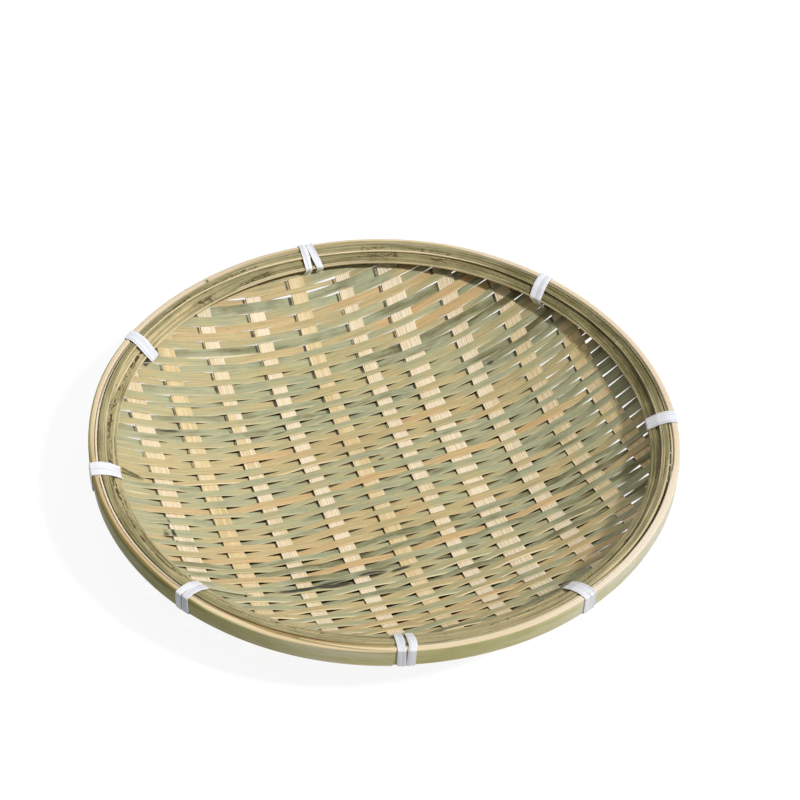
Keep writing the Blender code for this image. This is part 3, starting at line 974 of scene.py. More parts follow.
        lift = (lift + wander(rng, u, 0.02 * MM, 60 * MM))[:, None]
        lift = lift + thickness / 2 * level + ridges + tilt * sideways
        tone = 0.45 + 0.17 * float(np.clip(rng.normal(), -1.5, 1.5))
        tone = tone + wander(rng, u, 0.06, 110 * MM) + self.window(self.stretches, middle, u)
        tone = np.clip(tone - 0.12 * ease(u, 35 * MM, 90 * MM), 0.05, 0.95)
        shown = rng.random() ** 2.2 * (0.75 if middle < -30 * MM else 0.4)
        pale = self.window(self.pale_edges, middle, u)[:, None] + shown * 0.5
        # Painted light: the wefts are paler towards the left, where the lamp falls more squarely on
        # the rising mat.
        tint_and_painted_light = np.interp(u, np.array([-100, -60, -25]) * MM, [0.14, 0.1, 0])
        v = centre + sideways
        sweep.add(
            bowl.place(u[:, None], v, lift),
            strip_place(u[:, None] + 2.3 * weft, sideways, weft),
            tone=tone[:, None],
            cut=np.clip(edges * (0.35 + shown) + near_edge * pale, 0, 1),
            tint_and_painted_light=tint_and_painted_light[:, None],
            # Real stains, and the painted shade where the weft dives under a warp.
            stain_and_shade=np.maximum(self.stain_at(u[:, None], v), self.painted_crease_shade(u, weft)[:, None]),
            hollow=0.0,
        )

    def loose_bit(self, sweep: Sweep, item: Splinter) -> None:
        """Adds a splinter that lies on the wefts and tapers towards its far end.

        Args:
            sweep: the piece that takes it.
            item: its ends, width and look.
        """
        start, end = np.array(item.start) * MM, np.array(item.end) * MM
        share = np.linspace(0, 1, 24)[:, None]
        half = item.width / 2 * MM * (1 - 0.85 * share**3)
        across = np.array([-1.0, -0.5, 0.5, 1.0, 1.0, 0.0, -1.0])
        level = np.array([0.6, 1.0, 1.0, 0.6, -1.0, -1.0, -1.0])
        u = start[0] + (end[0] - start[0]) * share + 0 * across
        v = start[1] + (end[1] - start[1]) * share + half * across
        lift = self.loose_height - 0.35 * MM * share**2 + self.loose_half_depth * level
        masks = {"tone": item.tone, "tint_and_painted_light": item.tint_and_painted_light, "cut": 0.0, "stain_and_shade": 0.0, "hollow": 0.0}
        sweep.add(self.bowl.place(u, v, lift), strip_place(u, v, 400 + item.weft), **masks)

    def warp_strip(self, sweep: Sweep, warp: int) -> None:
        """Adds one warp: a wide pale strip whose face has fine grooves along it.

        Args:
            sweep: the piece that takes it.
            warp: its number from the left.
        """
        rng = np.random.default_rng(4000 + warp)
        places, widths = self.warp_rows()
        width, middle = widths[warp], places[warp]
        grooves = int(rng.integers(5, 8))
        spots = np.arange(grooves) + 0.5 + rng.uniform(-0.28, 0.28, grooves)
        spots = spots / grooves * 1.84 - 0.92
        wall = 0.2 * MM / (width / 2)
        ridge = (spots[1:] + spots[:-1]) / 2
        top = np.concatenate([spots - wall, spots, spots + wall, ridge, [-0.975, 0.975]])
        order = np.argsort(top)
        marks = np.zeros(len(top))
        marks[grooves : 2 * grooves] = rng.uniform(0.55, 1.0, grooves)
        across = np.concatenate([top[order], [1.0, 1.0, 0.97, 0.33, -0.33, -0.97, -1.0, -1.0]])
        level = np.concatenate([np.ones(len(top)), [0.5, -0.5, -1, -1, -1, -1, -0.5, 0.5]])
        cut = np.concatenate([np.zeros(len(top)), [0.7, 0.7, 0, 0, 0, 0, 0.7, 0.7]])
        outer = middle + math.copysign(width / 2 + 0.5 * MM, middle)
        low, high = self.span(outer, self.warp_lean, self.bowl.reach)
        v = np.linspace(low, high, int((high - low) / self.warp_step))
        side = wander(rng, v, 0.1 * MM, 120 * MM)[:, None]
        half = width / 2 + wander(rng, v, 0.06 * MM, 60 * MM)[:, None]
        v = v[:, None]
        u = middle + self.warp_lean * v + side + half * across
        fade = 0.75 + wander(rng, v[:, 0], 0.16, 35 * MM)[:, None]
        hollow = np.concatenate([marks[order], np.zeros(8)]) * self.warp_grooves[warp] * fade
        lift = self.warp_thickness / 2 * level - self.groove_depth * hollow
        lift = lift + wander(rng, v[:, 0], 0.015 * MM, 50 * MM)[:, None]
        tone = self.warp_tones[warp] + wander(rng, v[:, 0], 0.06, 90 * MM)[:, None]
        place = strip_place(v + 3.1 * warp, half * across, 100 + warp)
        # Painted shade: the grooves are coloured darker brown by their depth.
        brown = self.groove_shade * hollow
        points = self.bowl.place(u, v, lift)
        sweep.add(points, place, tone=tone, cut=cut, stain_and_shade=0.0, hollow=brown)

    def build(self, finishes: Finishes) -> None:
        """Builds the ten warps and the thirty-four pairs of wefts.

        Args:
            finishes: the basket's finishes.
        """
        for warp in range(len(self.warp_shifts)):
            sweep = Sweep(f"warp_strip_{warp + 1:02d}")
            self.warp_strip(sweep, warp)
            sweep.finish(finishes.warp, Slot.WARP, f"warp_{warp + 1:02d}")
        for pair in range(self.wefts_each_side):
            sweep = Sweep(f"weft_strips_{pair + 1:02d}")
            self.weft_strip(sweep, 2 * pair)
            self.weft_strip(sweep, 2 * pair + 1)
            for item in self.splinters:
                if item.weft // 2 == pair:
                    self.loose_bit(sweep, item)
            tan = pair % 4 == 1
            material = finishes.tan_weft if tan else finishes.green_weft
            slot = Slot.TAN_WEFT if tan else Slot.GREEN_WEFT
            sweep.finish(material, slot, f"weft_pair_{pair + 1:02d}")


@dataclass(frozen=True)
class Speckling:
    """Dark specks in a row round part of a band: the row's place across it, half width, depth."""

    start: float
    end: float
    across: float
    half: float
    depth: float


@dataclass(frozen=True)
class PaleLine:
    """A thin pale line on a band, round part of the rim, with its place across the band."""

    start: float
    end: float
    across: float
    amount: float


@dataclass(frozen=True)
class SlantedBand:
    """A band of the rim: a flat strip that slopes down towards the bowl, pale-edged in places."""

    name: str
    node: str
    radius: float
    top: float
    width: float
    joint: float
    seed: int
    grooves: Stops
    tones: Stops
    cream: Stops
    speckles: tuple[Speckling, ...] = ()
    lines: tuple[PaleLine, ...] = ()
    edge: float = 0.35 * MM
    narrow: Stops = ((0, 0.0), (180, 0.0))
    fibres: int = 24
    thickness: float = 0.9 * MM
    slope: float = math.radians(21.4)
    groove_wall: float = 0.14 * MM
    line_half: float = 0.24 * MM
    line: HoopLine = HoopLine()

    def build(self, material: Material) -> None:
        """Carries the band's section round the basket, with grooves that deepen and fade along it.

        Each fibre across the band has its own tone, which wanders along it.

        Args:
            material: its finish.
        """
        rng = np.random.default_rng(self.seed)
        degrees, angle, arc = once_round(self.joint, self.radius)
        along, down, depths = self.section()
        fade = np.stack([wander(rng, arc, 0.34, 150 * MM) for _ in along], 1)
        fade = np.clip(0.6 + fade, 0, 1.3)
        width = self.width + wander(rng, arc, 0.07 * MM, 110 * MM)[:, None]
        width = width - round_rim(degrees, self.narrow) * MM
        rise = wander(rng, arc, 0.05 * MM, 170 * MM)[:, None]
        inner = along * width
        ripple = np.where(down == 0, 0.022 * MM, 0) * rng.normal(0, 1, len(along))
        deep = down * self.thickness + depths * fade - ripple - rise
        radii = self.radius + self.line.stray(angle)[:, None]
        radii = radii - inner * math.cos(self.slope) + deep * math.sin(self.slope)
        heights = self.top - inner * math.sin(self.slope) - deep * math.cos(self.slope)
        cream = round_rim(degrees, self.cream) + wander(rng, arc, 0.1, 60 * MM)[:, None]
        own = np.stack([wander(rng, arc, 0.1, 120 * MM, 5) for _ in along], 1)
        tone = round_rim(degrees, self.tones) + own + 0.17 * rng.normal(0, 1, len(along))
        sweep = Sweep(self.name)
        sweep.add(
            turned_points(radii, angle[:, None], heights),
            strip_place(arc[:, None], inner + 4 * deep, self.seed),
            tone=tone,
            cut=self.pale_parts(degrees, along, down, cream),
            speck=self.specks(rng, degrees, arc, along, down),
            stain_and_shade=0.0,
            # Painted shade at the bottoms of the grooves.
            hollow=np.clip(np.where(depths > 0, 0.75, 0) * fade, 0, 0.85),
        )
        sweep.finish(material, Slot.BAND, self.node)

    def section(self) -> tuple[Array, Array, Array]:
        """The section's points: a face with a groove at each spot, then the edges and the back.

        Returns:
            For each point, its place across from 0 to 1, how far down through the band it lies,
            and the depth of its groove.
        """
        spots, deeps = (np.array(values) for values in zip(*self.grooves))
        wall = self.groove_wall / self.width
        plain = np.linspace(0.015, 0.98, self.fibres)
        plain = plain[np.abs(plain[:, None] - spots).min(1) > 1.3 * wall]
        top = np.concatenate([plain, spots - wall, spots, spots + wall])
        depths = np.concatenate([np.zeros(len(plain) + len(spots)), deeps, np.zeros(len(spots))])
        order = np.argsort(top)
        along = np.concatenate([top[order], [1.0, 1.0, 0.97, 0.5, 0.03, 0.0, 0.0]])
        down = np.concatenate([np.zeros(len(top)), [0.3, 0.8, 1.0, 1.0, 1.0, 0.8, 0.2]])
        return along, down, np.concatenate([depths[order], np.zeros(7)]) * MM

    def round_part(self, degrees: Array, start: float, end: float) -> Array:
        """1 between two azimuths and 0 elsewhere, with soft ends, as a column."""
        past, long = (degrees - start) % 360, (end - start) % 360
        return (ease(past, 0, 2.5) * (1 - ease(past, long - 2.5, long)))[:, None]

    def pale_parts(self, degrees: Array, along: Array, down: Array, cream: Array) -> Array:
        """How pale each point is: the inner edge by cream, and a bell across for each pale line.

        Args:
            degrees: places round the rim.
            along: places across the band, from 0 to 1.
            down: how far below its face each point of the section lies.
            cream: how much of the edge is pale at each place.

        Returns:
            The value at each place and point.
        """
        share = self.edge / self.width
        edge = np.interp(along, [0.0, 1 - 1.6 * share, 1 - share, 1.0], [0, 0.0, 0.9, 1.0])
        pale = edge * np.where(down < 1, 1.0, 0.2) * cream
        for item in self.lines:
            away = (along - item.across) * self.width / self.line_half
            bell = np.exp(-(away**4)) * (down < 0.5)
            whole = item.amount * self.round_part(degrees, item.start, item.end)
            pale = np.maximum(pale, whole * bell)
        return np.clip(pale, 0, 1)

    def specks(self, rng: Rng, degrees: Array, arc: Array, along: Array, down: Array) -> Array:
        """How thick the specks are: for each row a bell across the band, with soft ends.

        Args:
            rng: the source of the rows' wandering.
            degrees: places round the rim.
            arc: the same places, as lengths.
            along: places across the band, from 0 to 1.
            down: how far below its face each point of the section lies.

        Returns:
            The value at each place and point.
        """
        total = np.zeros((len(degrees), len(along)))
        for row in self.speckles:
            middle = row.across + wander(rng, arc, 0.03, 70 * MM)[:, None]
            bell = np.exp(-(((along - middle) / row.half) ** 2)) * (down < 0.5)
            patchy = np.clip(0.75 + wander(rng, arc, 0.3, 34 * MM), 0, 1)[:, None]
            window = self.round_part(degrees, row.start, row.end)
            total = np.maximum(total, row.depth * window * patchy * bell)
        return total


@dataclass(frozen=True)
class OuterHoop:
    """The outer hoop: a split cane, green skin out and pale cut edge up, lapped at the front."""

    outer: float = 115.0 * MM
    inner: float = 112.6 * MM
    top: float = 34.9 * MM
    height: float = 7.9 * MM
    lap_start: float = -104.0
    lap_end: float = -86.6
    edge_soft: float = 0.07
    dot_at: float = 132.1
    dot_half: float = 0.5
    fuller: Stops = ((-44, 0.0), (-34, 0.6), (-14, 0.6), (-8, 0.0))
    # Painted shade on the front left, taken off the tone near the top.
    shaded: Stops = ((-172, 0.0), (-160, 0.32), (-132, 0.3), (-122, 0.0))
    # The skin's tone round the hoop also paints the light: palest on the front right where the lamp
    # falls, darker on the shaded sides.
    skin_tones_and_painted_light: Stops = (
        (-180, 0.42), (-150, 0.33), (-135, 0.3), (-120, 0.57), (-105, 0.69), (-90, 0.76),
        (-75, 0.56), (-60, 0.68), (-45, 0.86), (-30, 0.96), (0, 1.0), (30, 0.8), (60, 0.5),
        (150, 0.45),
    )
    cut_starts: Stops = (
        (-122, -0.2), (-108, 0.42), (-88, 0.4), (-80, -0.2), (60, -0.2), (78, 0.36), (102, 0.36),
        (122, 0.14), (134, -0.2),
    )
    cut_ends: Stops = (
        (-180, 0.64), (-165, 0.52), (-150, 0.44), (-135, 0.5), (-120, 0.78), (-105, 1.1),
        (110, 1.1), (150, 0.86), (165, 0.74),
    )
    inner_shine: Stops = (
        (-180, 0.2), (-165, 0.0), (-135, 0.0), (-120, 0.3), (-105, 0.0), (-75, 0.4), (60, 0.1),
        (90, 0.0), (125, 0.1), (137, 0.4), (170, 0.4),
    )
    whole_shine: Stops = (
        (-180, 0.05), (-150, 0.0), (-110, 0.0), (-90, 0.05), (-60, 0.2), (-45, 0.45), (-30, 0.55),
        (0, 0.3), (30, 0.32), (60, 0.3), (90, 0.3), (120, 0.3), (150, 0.25),
    )
    outer_tan: Stops = ((60, 0.0), (110, 0.08), (150, 0.14), (180, 0.16), (200, 0.0))
    brown: Stops = (
        (-180, 0.1), (-168, 0.4), (-134, 0.38), (-122, 0.0), (90, 0.14), (105, 0.28), (120, 0.28),
        (150, 0.16),
    )
    gold: Stops = ((-118, 0.0), (-108, 0.6), (-90, 0.45), (-84, 0.0))
    line: HoopLine = HoopLine()

    def build(self, material: Material) -> None:
        """Carries the section round and past its start, thinning both ends where they overlap.

        The pale cut covers the whole of the top in front and less of it towards the back, where
        the green skin comes up over the outer edge.

        Args:
            material: its finish.
        """
        rng = np.random.default_rng(77)
        start, end = self.lap_start, self.lap_end
        degrees = np.arange(start, end + 360.01, 0.4)
        angle = np.radians(degrees)[:, None]
        arc = angle[:, 0] * self.outer
        knots = [start, end, end + 2, start + 358, start + 360, end + 360]
        inside = np.interp(degrees, knots, [0, 0, 0, 0, 0.34, 2.26])[:, None] * MM
        thick = np.interp(degrees, knots, [0.3, 2.22, 2.4, 2.4, 2.1, 0.16])[:, None] * MM
        step = np.interp(degrees, knots, [0.02, 0.02, 0.02, -0.02, -0.02, -0.02]) * MM
        across_top = np.arange(0.16, 0.9, 0.1)
        wide = np.array([*[1] * 5, 0.93, 0.5, 0.07, *[0] * 5, 0.07, *across_top, 0.95])
        side = [0.9, 0.7, 0.5, 0.3, 0.06, 0, 0, 0, 0.04, 0.3, 0.6, 0.8, 0.95, 0.985]
        tall = np.array([*side, *[1.0] * 7, 0.99, 0.965])
        bow = np.array([0.05, 0, 0, 0.02, 0.12] + [0.0] * 18) * MM
        sway = self.line.stray(angle) + wander(rng, arc, 0.05 * MM, 260 * MM)[:, None]
        body = thick + wander(rng, arc, 0.04 * MM, 150 * MM)[:, None] * (thick > 2 * MM)
        fuller = round_rim(degrees, self.fuller) * MM * (1 - wide)
        radii = self.inner + inside + sway + body * wide - bow - fuller
        ripple = 0.015 * MM * rng.normal(0, 1, len(wide)) * (tall > 0.97)
        top = self.top + wander(rng, arc, 0.05 * MM, 200 * MM) + step
        heights = top[:, None] - self.height * (1 - tall) + ripple
        slant = np.radians(0.5) * (tall - 0.5) * ease(degrees, end + 354, end + 360)[:, None]
        reach = np.hypot(*(np.diff(way, prepend=way[-1]) for way in (wide * 2.4, tall * 8)))
        sweep = Sweep("outer_hoop_bamboo")
        sweep.add(
            turned_points(radii, angle + slant, heights),
            strip_place(arc[:, None], np.cumsum(reach) * MM, 60),
            **self.looks(rng, degrees, arc, wide, tall),
        )
        sweep.finish(material, Slot.SKIN, "outer_hoop")

    def looks(
        self, rng: Rng, degrees: Array, arc: Array, wide: Array, tall: Array
    ) -> dict[str, Array]:
        """The masks of the hoop: its tones with painted light and shade, the pale cut on top, its
        painted highlights, brown parts and a dot.

        Args:
            rng: the source of the tones' wandering.
            degrees: places round the hoop.
            arc: the same places, as lengths.
            wide: for each point of the section, its place from the inside to the outside.
            tall: for each point, its height from 0 to 1.

        Returns:
            Each mask by its name.
        """
        # Tone with painted light round the hoop, less the painted shade on the front left.
        shaded = round_rim(degrees, self.shaded) * (tall > 0.8)
        tone = round_rim(degrees, self.skin_tones_and_painted_light) + wander(rng, arc, 0.04, 200 * MM)[:, None]
        start = round_rim(degrees, self.cut_starts)
        end = round_rim(degrees, self.cut_ends) + wander(rng, arc, 0.02, 60 * MM)[:, None]
        past_start, past_end = (
            ease(wide - edge, -self.edge_soft, self.edge_soft) for edge in (start, end)
        )
        cut = np.array([0.0, 0, 0, 0, 0.1, 0.8, 1, 1, 0.4, 0.3, 0.3, 0.7] + [1.0] * 11)
        cut = np.where(tall > 0.96, past_start * (1 - past_end), cut)
        tan = round_rim(degrees, self.outer_tan) * ease(wide, 0.25, 0.6) * (tall > 0.96)
        tan = np.maximum(tan, round_rim(degrees, self.brown) * (tall > 0.9))
        tan = np.maximum(tan, round_rim(degrees, self.gold) * (1 - past_start) * (tall > 0.9))
        # Painted highlights on the hoop's top: a line along the inner edge, and the whole top
        # lighter where the lamp falls.
        inner = np.interp(wide, [0, 0.16, 0.26, 0.4], [1.0, 1.0, 0.6, 0])
        inner = round_rim(degrees, self.inner_shine) * inner
        painted_highlight = np.maximum(inner, round_rim(degrees, self.whole_shine)) * (tall > 0.9)
        away = ((degrees - self.dot_at + 180) % 360 - 180) / self.dot_half
        dot = np.exp(-(away**2))[:, None] * (1 - ease(wide, 0.35, 0.6))
        return {
            "tone": tone - shaded,
            "cut": cut * (1 - dot),
            "stain_and_shade": 0.9 * dot * (tall > 0.94),
            "hollow": tan * (1 - dot),
            "painted_highlight": painted_highlight,
        }


@dataclass(frozen=True)
class RimSplint:
    """The thin splint between the hoop and the bands, sunk where a gap stays open."""

    outer: float = 112.35 * MM
    top: float = 34.5 * MM
    width: float = 0.75 * MM
    height: float = 0.9 * MM
    joint: float = 54.2
    inwards: float = 0.3 * MM
    away: Stops = ((-37, 0), (-31, 1), (-14, 1), (-9, 0))
    sunk: Stops = (
        (-38, 0.15), (-31, 0.8), (-14, 0.8), (-9, 0.15), (60, 0.1), (150, 0.1), (180, -0.1),
        (195, -0.25), (215, -0.25), (240, 0.2),
    )
    tones: Stops = (
        (-135, 0.55), (-110, 0.2), (-90, 0.4), (-60, 0.55), (-40, 0.6), (-32, 0.1), (-14, 0.1),
        (-8, 0.7), (0, 0.7), (20, 0.4), (60, 0.62), (90, 0.4), (120, 0.5), (150, 0.55), (180, 0.55),
    )
    cut: Stops = (
        (-180, 0.9), (-150, 1.0), (-135, 0.7), (-118, 0.1), (-60, 0.1), (-45, 0.6), (-36, 0.0),
        (-10, 0.0), (-5, 0.5), (5, 0.1), (140, 0.1), (165, 0.2),
    )
    gold: Stops = ((-128, 0.0), (-120, 0.7), (-90, 0.6), (-84, 0.0))
    line: HoopLine = HoopLine()

    def build(self, material: Material) -> None:
        """Carries a small rounded section round the basket.

        Args:
            material: its finish.
        """
        rng = np.random.default_rng(31)
        degrees, angle, arc = once_round(self.joint, self.outer)
        wide = np.array([0.0, 0.18, 0.5, 0.82, 1.0, 1.0, 0.8, 0.2, 0.0])
        deep = np.array([0.25, 0.0, -0.06, 0.0, 0.25, 0.8, 1.0, 1.0, 0.8])
        sway = np.abs(wander(rng, arc, 0.05 * MM, 140 * MM))[:, None]
        radii = self.outer - self.inwards * round_rim(degrees, self.away)
        radii = radii + self.line.stray(angle)[:, None] - self.width * wide - sway
        rise = wander(rng, arc, 0.08 * MM, 180 * MM)[:, None] - round_rim(degrees, self.sunk) * MM
        heights = self.top - self.height * deep + rise
        sweep = Sweep("rim_splint_bamboo")
        sweep.add(
            turned_points(radii, angle[:, None], heights),
            strip_place(arc[:, None], self.width * wide, 61),
            tone=round_rim(degrees, self.tones) + wander(rng, arc, 0.06, 200 * MM)[:, None],
            cut=round_rim(degrees, self.cut),
            # Painted highlight: the splint's pale cut lifted towards white all round.
            painted_highlight=0.4,
            tint_and_painted_light=round_rim(degrees, self.gold),
            stain_and_shade=0.0,
            hollow=0.0,
        )
        sweep.finish(material, Slot.BAND, "rim_splint")


@dataclass(frozen=True)
class Turn:
    """A turn of ribbon: its place to the side outside, on top and at the mat, and its width."""

    outside: float
    top: float
    inside: float
    width: float


@dataclass(frozen=True)
class Binding:
    """A ribbon tied round the rim at one angle, in one or two turns whose sizes are in millimetres.

    A loose one stands off the bands by its loop.
    """

    number: int
    degrees: float
    turns: tuple[Turn, ...]
    loop: float = 0.0
    foot: float = 106.6
    under: tuple[float, ...] = (107.5, 108.4, 110.2)
    thickness: float = 0.26 * MM
    steps: int = 180
    line: HoopLine = HoopLine()

    def path(self, bowl: BowlShape) -> tuple[Array, Array]:
        """The closed middle line of a turn in its upright plane, with its corners rounded.

        The line's corners lie off the hoop, the bands and the underside of the mat. It is cut into
        short steps, and each point is then averaged with its neighbours by a bell, which rounds
        the corners.

        Args:
            bowl: the shape of the mat.

        Returns:
            The points as radius and height, and for each its share of the way round: 0 outside,
            1 on top, 2 at the mat inside and 3 underneath.
        """
        gap = self.thickness / 2 / MM + 0.06
        foot_height = float(bowl.profile(np.array(self.foot * MM))[1]) / MM
        radius, height, slope = bowl.profile(np.array(self.under) * MM)
        drop = bowl.half_depth + gap * MM
        below = np.stack([radius + drop * np.sin(slope), height - drop * np.cos(slope)], 1) / MM
        tuck = [(104.15 - gap, 29.55, 1.78)]
        if self.loop:
            tuck = [(103.9 - self.loop, 30.75 - 0.66 * self.loop, 1.76), (106.2, 27.0, 1.82)]
        corners = [
            (115 + gap, 27 - gap, 0.0),
            (115 + gap, 35 + gap, 0.5),
            (112.6, 35.05 + gap, 1.0),
            (110.9, 34.75 + gap, 1.1),
            (107.95, 33.6 + gap, 1.3),
            (103.9 - gap, 30.75 + gap, 1.7),
            *tuck,
            (self.foot - gap, foot_height + 0.9, 1.85),
            (self.foot - gap, foot_height - 0.5, 2.0),
            *[(*point, share) for point, share in zip(below, (2.5, 3.0, 3.5))],
            (112.6, 27 - gap, 3.8),
            (115 + gap, 27 - gap, 4.0),
        ]
        out, up, phase = np.array(corners).T
        run = np.concatenate([[0], np.cumsum(np.hypot(np.diff(out), np.diff(up)))])
        steps = np.linspace(0, run[-1], self.steps, endpoint=False)
        line = np.stack([np.interp(steps, run, out), np.interp(steps, run, up)], 1)
        reach = np.arange(-6, 7)
        bell = np.exp(-((reach / 2.2) ** 2))
        bell /= bell.sum()
        line = sum(weight * np.roll(line, -offset, 0) for offset, weight in zip(reach, bell))
        return line * MM, np.interp(steps, run, phase)

    def build(self, bowl: BowlShape, material: Material) -> None:
        """Carries a thin, slightly cupped section along the path for each turn.

        Args:
            bowl: the shape of the mat.
            material: the ribbon's finish.
        """
        sweep = Sweep(f"ribbon_{self.number}")
        line, phase = self.path(bowl)
        ahead = np.roll(line, -1, 0) - np.roll(line, 1, 0)
        ahead /= np.linalg.norm(ahead, axis=1, keepdims=True)
        normal = np.stack([ahead[:, 1], -ahead[:, 0]], 1)
        normal *= np.sign((normal * (line - line.mean(0))).sum())
        share = np.arange(self.steps) / self.steps
        around = share * 44 * MM
        middle, stray = math.radians(self.degrees), self.line.stray(np.radians(self.degrees))
        across = [-0.96, -0.66, -0.33, 0, 0.33, 0.66, 0.96, 1, 0.96, 0.5, 0, -0.5, -0.96, -1]
        across = np.array(across, float)
        level = np.array([1.0] * 7 + [0.0] + [-1.0] * 5 + [0.0])
        for index, turn in enumerate(self.turns):
            rng = np.random.default_rng(self.number * 10 + index)
            sides = [turn.outside, turn.top, turn.inside, 0.0, turn.outside]
            side = np.interp(phase, range(5), sides)[:, None] * MM
            width = turn.width * MM * (1 + 0.05 * np.sin(math.tau * share * 3 + index))[:, None]
            crown = 0.1 * MM * (1 - across**2) * np.where(level == 0, 0.2, 1)
            fold = 0.05 * MM * np.sin(across * rng.uniform(5, 8) + rng.uniform(0, 6))
            lift = self.thickness / 2 * level + crown + fold
            lift = lift + wander(rng, around, 0.03 * MM, 22 * MM)[:, None]
            radii = line[:, :1] + normal[:, :1] * lift + stray
            heights = line[:, 1:] + normal[:, 1:] * lift
            angle = middle + (side + width / 2 * across) / radii
            place = strip_place(around[:, None], width / 2 * across, 200 + self.number * 2 + index)
            sweep.add(turned_points(radii, angle, heights), place, closed=True)
        sweep.finish(material, Slot.RIBBON, f"binding_{self.number}")


@dataclass(frozen=True)
class Rim:
    """The whole rim: hoop, splint, the two bands and the eight ribbons."""

    hoop: OuterHoop = OuterHoop()
    splint: RimSplint = RimSplint()
    upper: SlantedBand = SlantedBand(
        "upper_band_bamboo", "upper_rim_band", 110.97 * MM, 34.6 * MM, 3.2 * MM, 155.2, 21,
        grooves=((0.3, 0.22), (0.52, 0.1), (0.74, 0.16)),
        tones=(
            (-170, 0.4), (-150, 0.48), (-120, 0.52), (-90, 0.54), (-60, 0.82), (-45, 0.76),
            (-30, 0.82), (-10, 0.68), (10, 0.5), (30, 0.4), (45, 0.34), (60, 0.42), (80, 0.5),
            (105, 0.48), (120, 0.46), (140, 0.48), (165, 0.44),
        ),
        cream=(
            (-150, 0.0), (-60, 0.0), (-20, 0.25), (0, 0.3), (20, 0.05), (62, 0.0), (76, 0.9),
            (90, 1.0), (150, 1.0), (180, 0.5),
        ),
        speckles=rows_of(
            Speckling,
            (118, 148, 0.45, 0.3, 1.0), (74, 98, 0.5, 0.3, 0.9), (20, 66, 0.5, 0.5, 0.45),
            (-115, -92, 0.6, 0.3, 0.5),
        ),
        lines=(PaleLine(-44, -6, 0.07, 0.9),),
        edge=0.6 * MM,
        narrow=(
            (60, 0.0), (100, 0.0), (128, 0.8), (138, 1.4), (152, 1.4), (172, 0.4), (190, 0.0),
        ),
        fibres=11,
    )
    lower: SlantedBand = SlantedBand(
        "lower_band_bamboo", "lower_rim_band", 110.97 * MM, 33.31 * MM, 7.5 * MM, 4.4, 22,
        grooves=((0.44, 0.12), (0.53, 0.14), (0.62, 0.2), (0.71, 0.1), (0.82, 0.18), (0.9, 0.08)),
        tones=(
            (-170, 0.62), (-150, 0.52), (-135, 0.66), (-120, 0.8), (-100, 0.58), (-90, 0.6),
            (-75, 0.7), (-60, 0.56), (-45, 0.54), (-30, 0.6), (-15, 0.4), (15, 0.26), (30, 0.26),
            (60, 0.28), (75, 0.34), (105, 0.4), (130, 0.46), (150, 0.6), (165, 0.64),
        ),
        cream=(
            (-150, 0.0), (-20, 0.0), (5, 0.3), (20, 0.6), (70, 0.9), (130, 1.0), (165, 1.0),
            (185, 0.5), (200, 0.0),
        ),
        speckles=rows_of(
            Speckling,
            (-208, -130, 0.57, 0.15, 1.15), (-178, -130, 0.84, 0.06, 0.9),
            (-124, -98, 0.6, 0.28, 1.0), (-80, -28, 0.62, 0.14, 0.9), (84, 99, 0.56, 0.24, 0.95),
            (71, 82, 0.55, 0.24, 0.95), (116, 127, 0.72, 0.2, 1.05), (131, 141, 0.66, 0.24, 0.95),
            (24, 66, 0.66, 0.2, 0.5),
        ),
        lines=rows_of(
            PaleLine,
            (138, 172, 0.47, 1.0), (94, 128, 0.88, 0.8), (172, 200, 0.8, 0.5),
            (-142, -56, 0.92, 0.4),
        ),
    )
    bindings: tuple[Binding, ...] = (
        Binding(1, 107.4, (Turn(-0.2, -0.3, -3.2, 3.1), Turn(3.6, 2.7, 2.4, 3.1))),
        Binding(2, 54.2, (Turn(-1.4, -1.6, -4.0, 3.2), Turn(1.5, 1.0, -1.4, 3.0))),
        Binding(3, 4.4, (Turn(-1.6, -1.5, -1.0, 3.3), Turn(1.6, 1.7, 1.9, 3.3))),
        Binding(4, -48.2, (Turn(-1.4, -1.35, -1.3, 2.8), Turn(1.4, 1.35, 1.4, 2.8))),
        Binding(5, -84.6, (Turn(-1.7, -1.9, -2.8, 3.1), Turn(1.5, 2.4, 1.1, 3.2))),
        Binding(6, -127.6, (Turn(-1.6, -1.5, -1.5, 2.8), Turn(1.6, 1.45, 1.5, 2.9))),
        Binding(7, -165.1, (Turn(-1.75, -1.8, -1.5, 3.7), Turn(1.75, 1.75, 1.5, 3.7))),
        Binding(8, 155.2, (Turn(0.0, 0.2, 2.6, 5.8),), loop=2.5),
    )

    def build(self, bowl: BowlShape, finishes: Finishes) -> None:
        """Builds every piece of the rim.

        Args:
            bowl: the shape of the mat.
            finishes: the basket's finishes.
        """
        self.hoop.build(finishes.skin)
        for strip in (self.splint, self.upper, self.lower):
            strip.build(finishes.band)
        for binding in self.bindings:
            binding.build(bowl, finishes.ribbon)


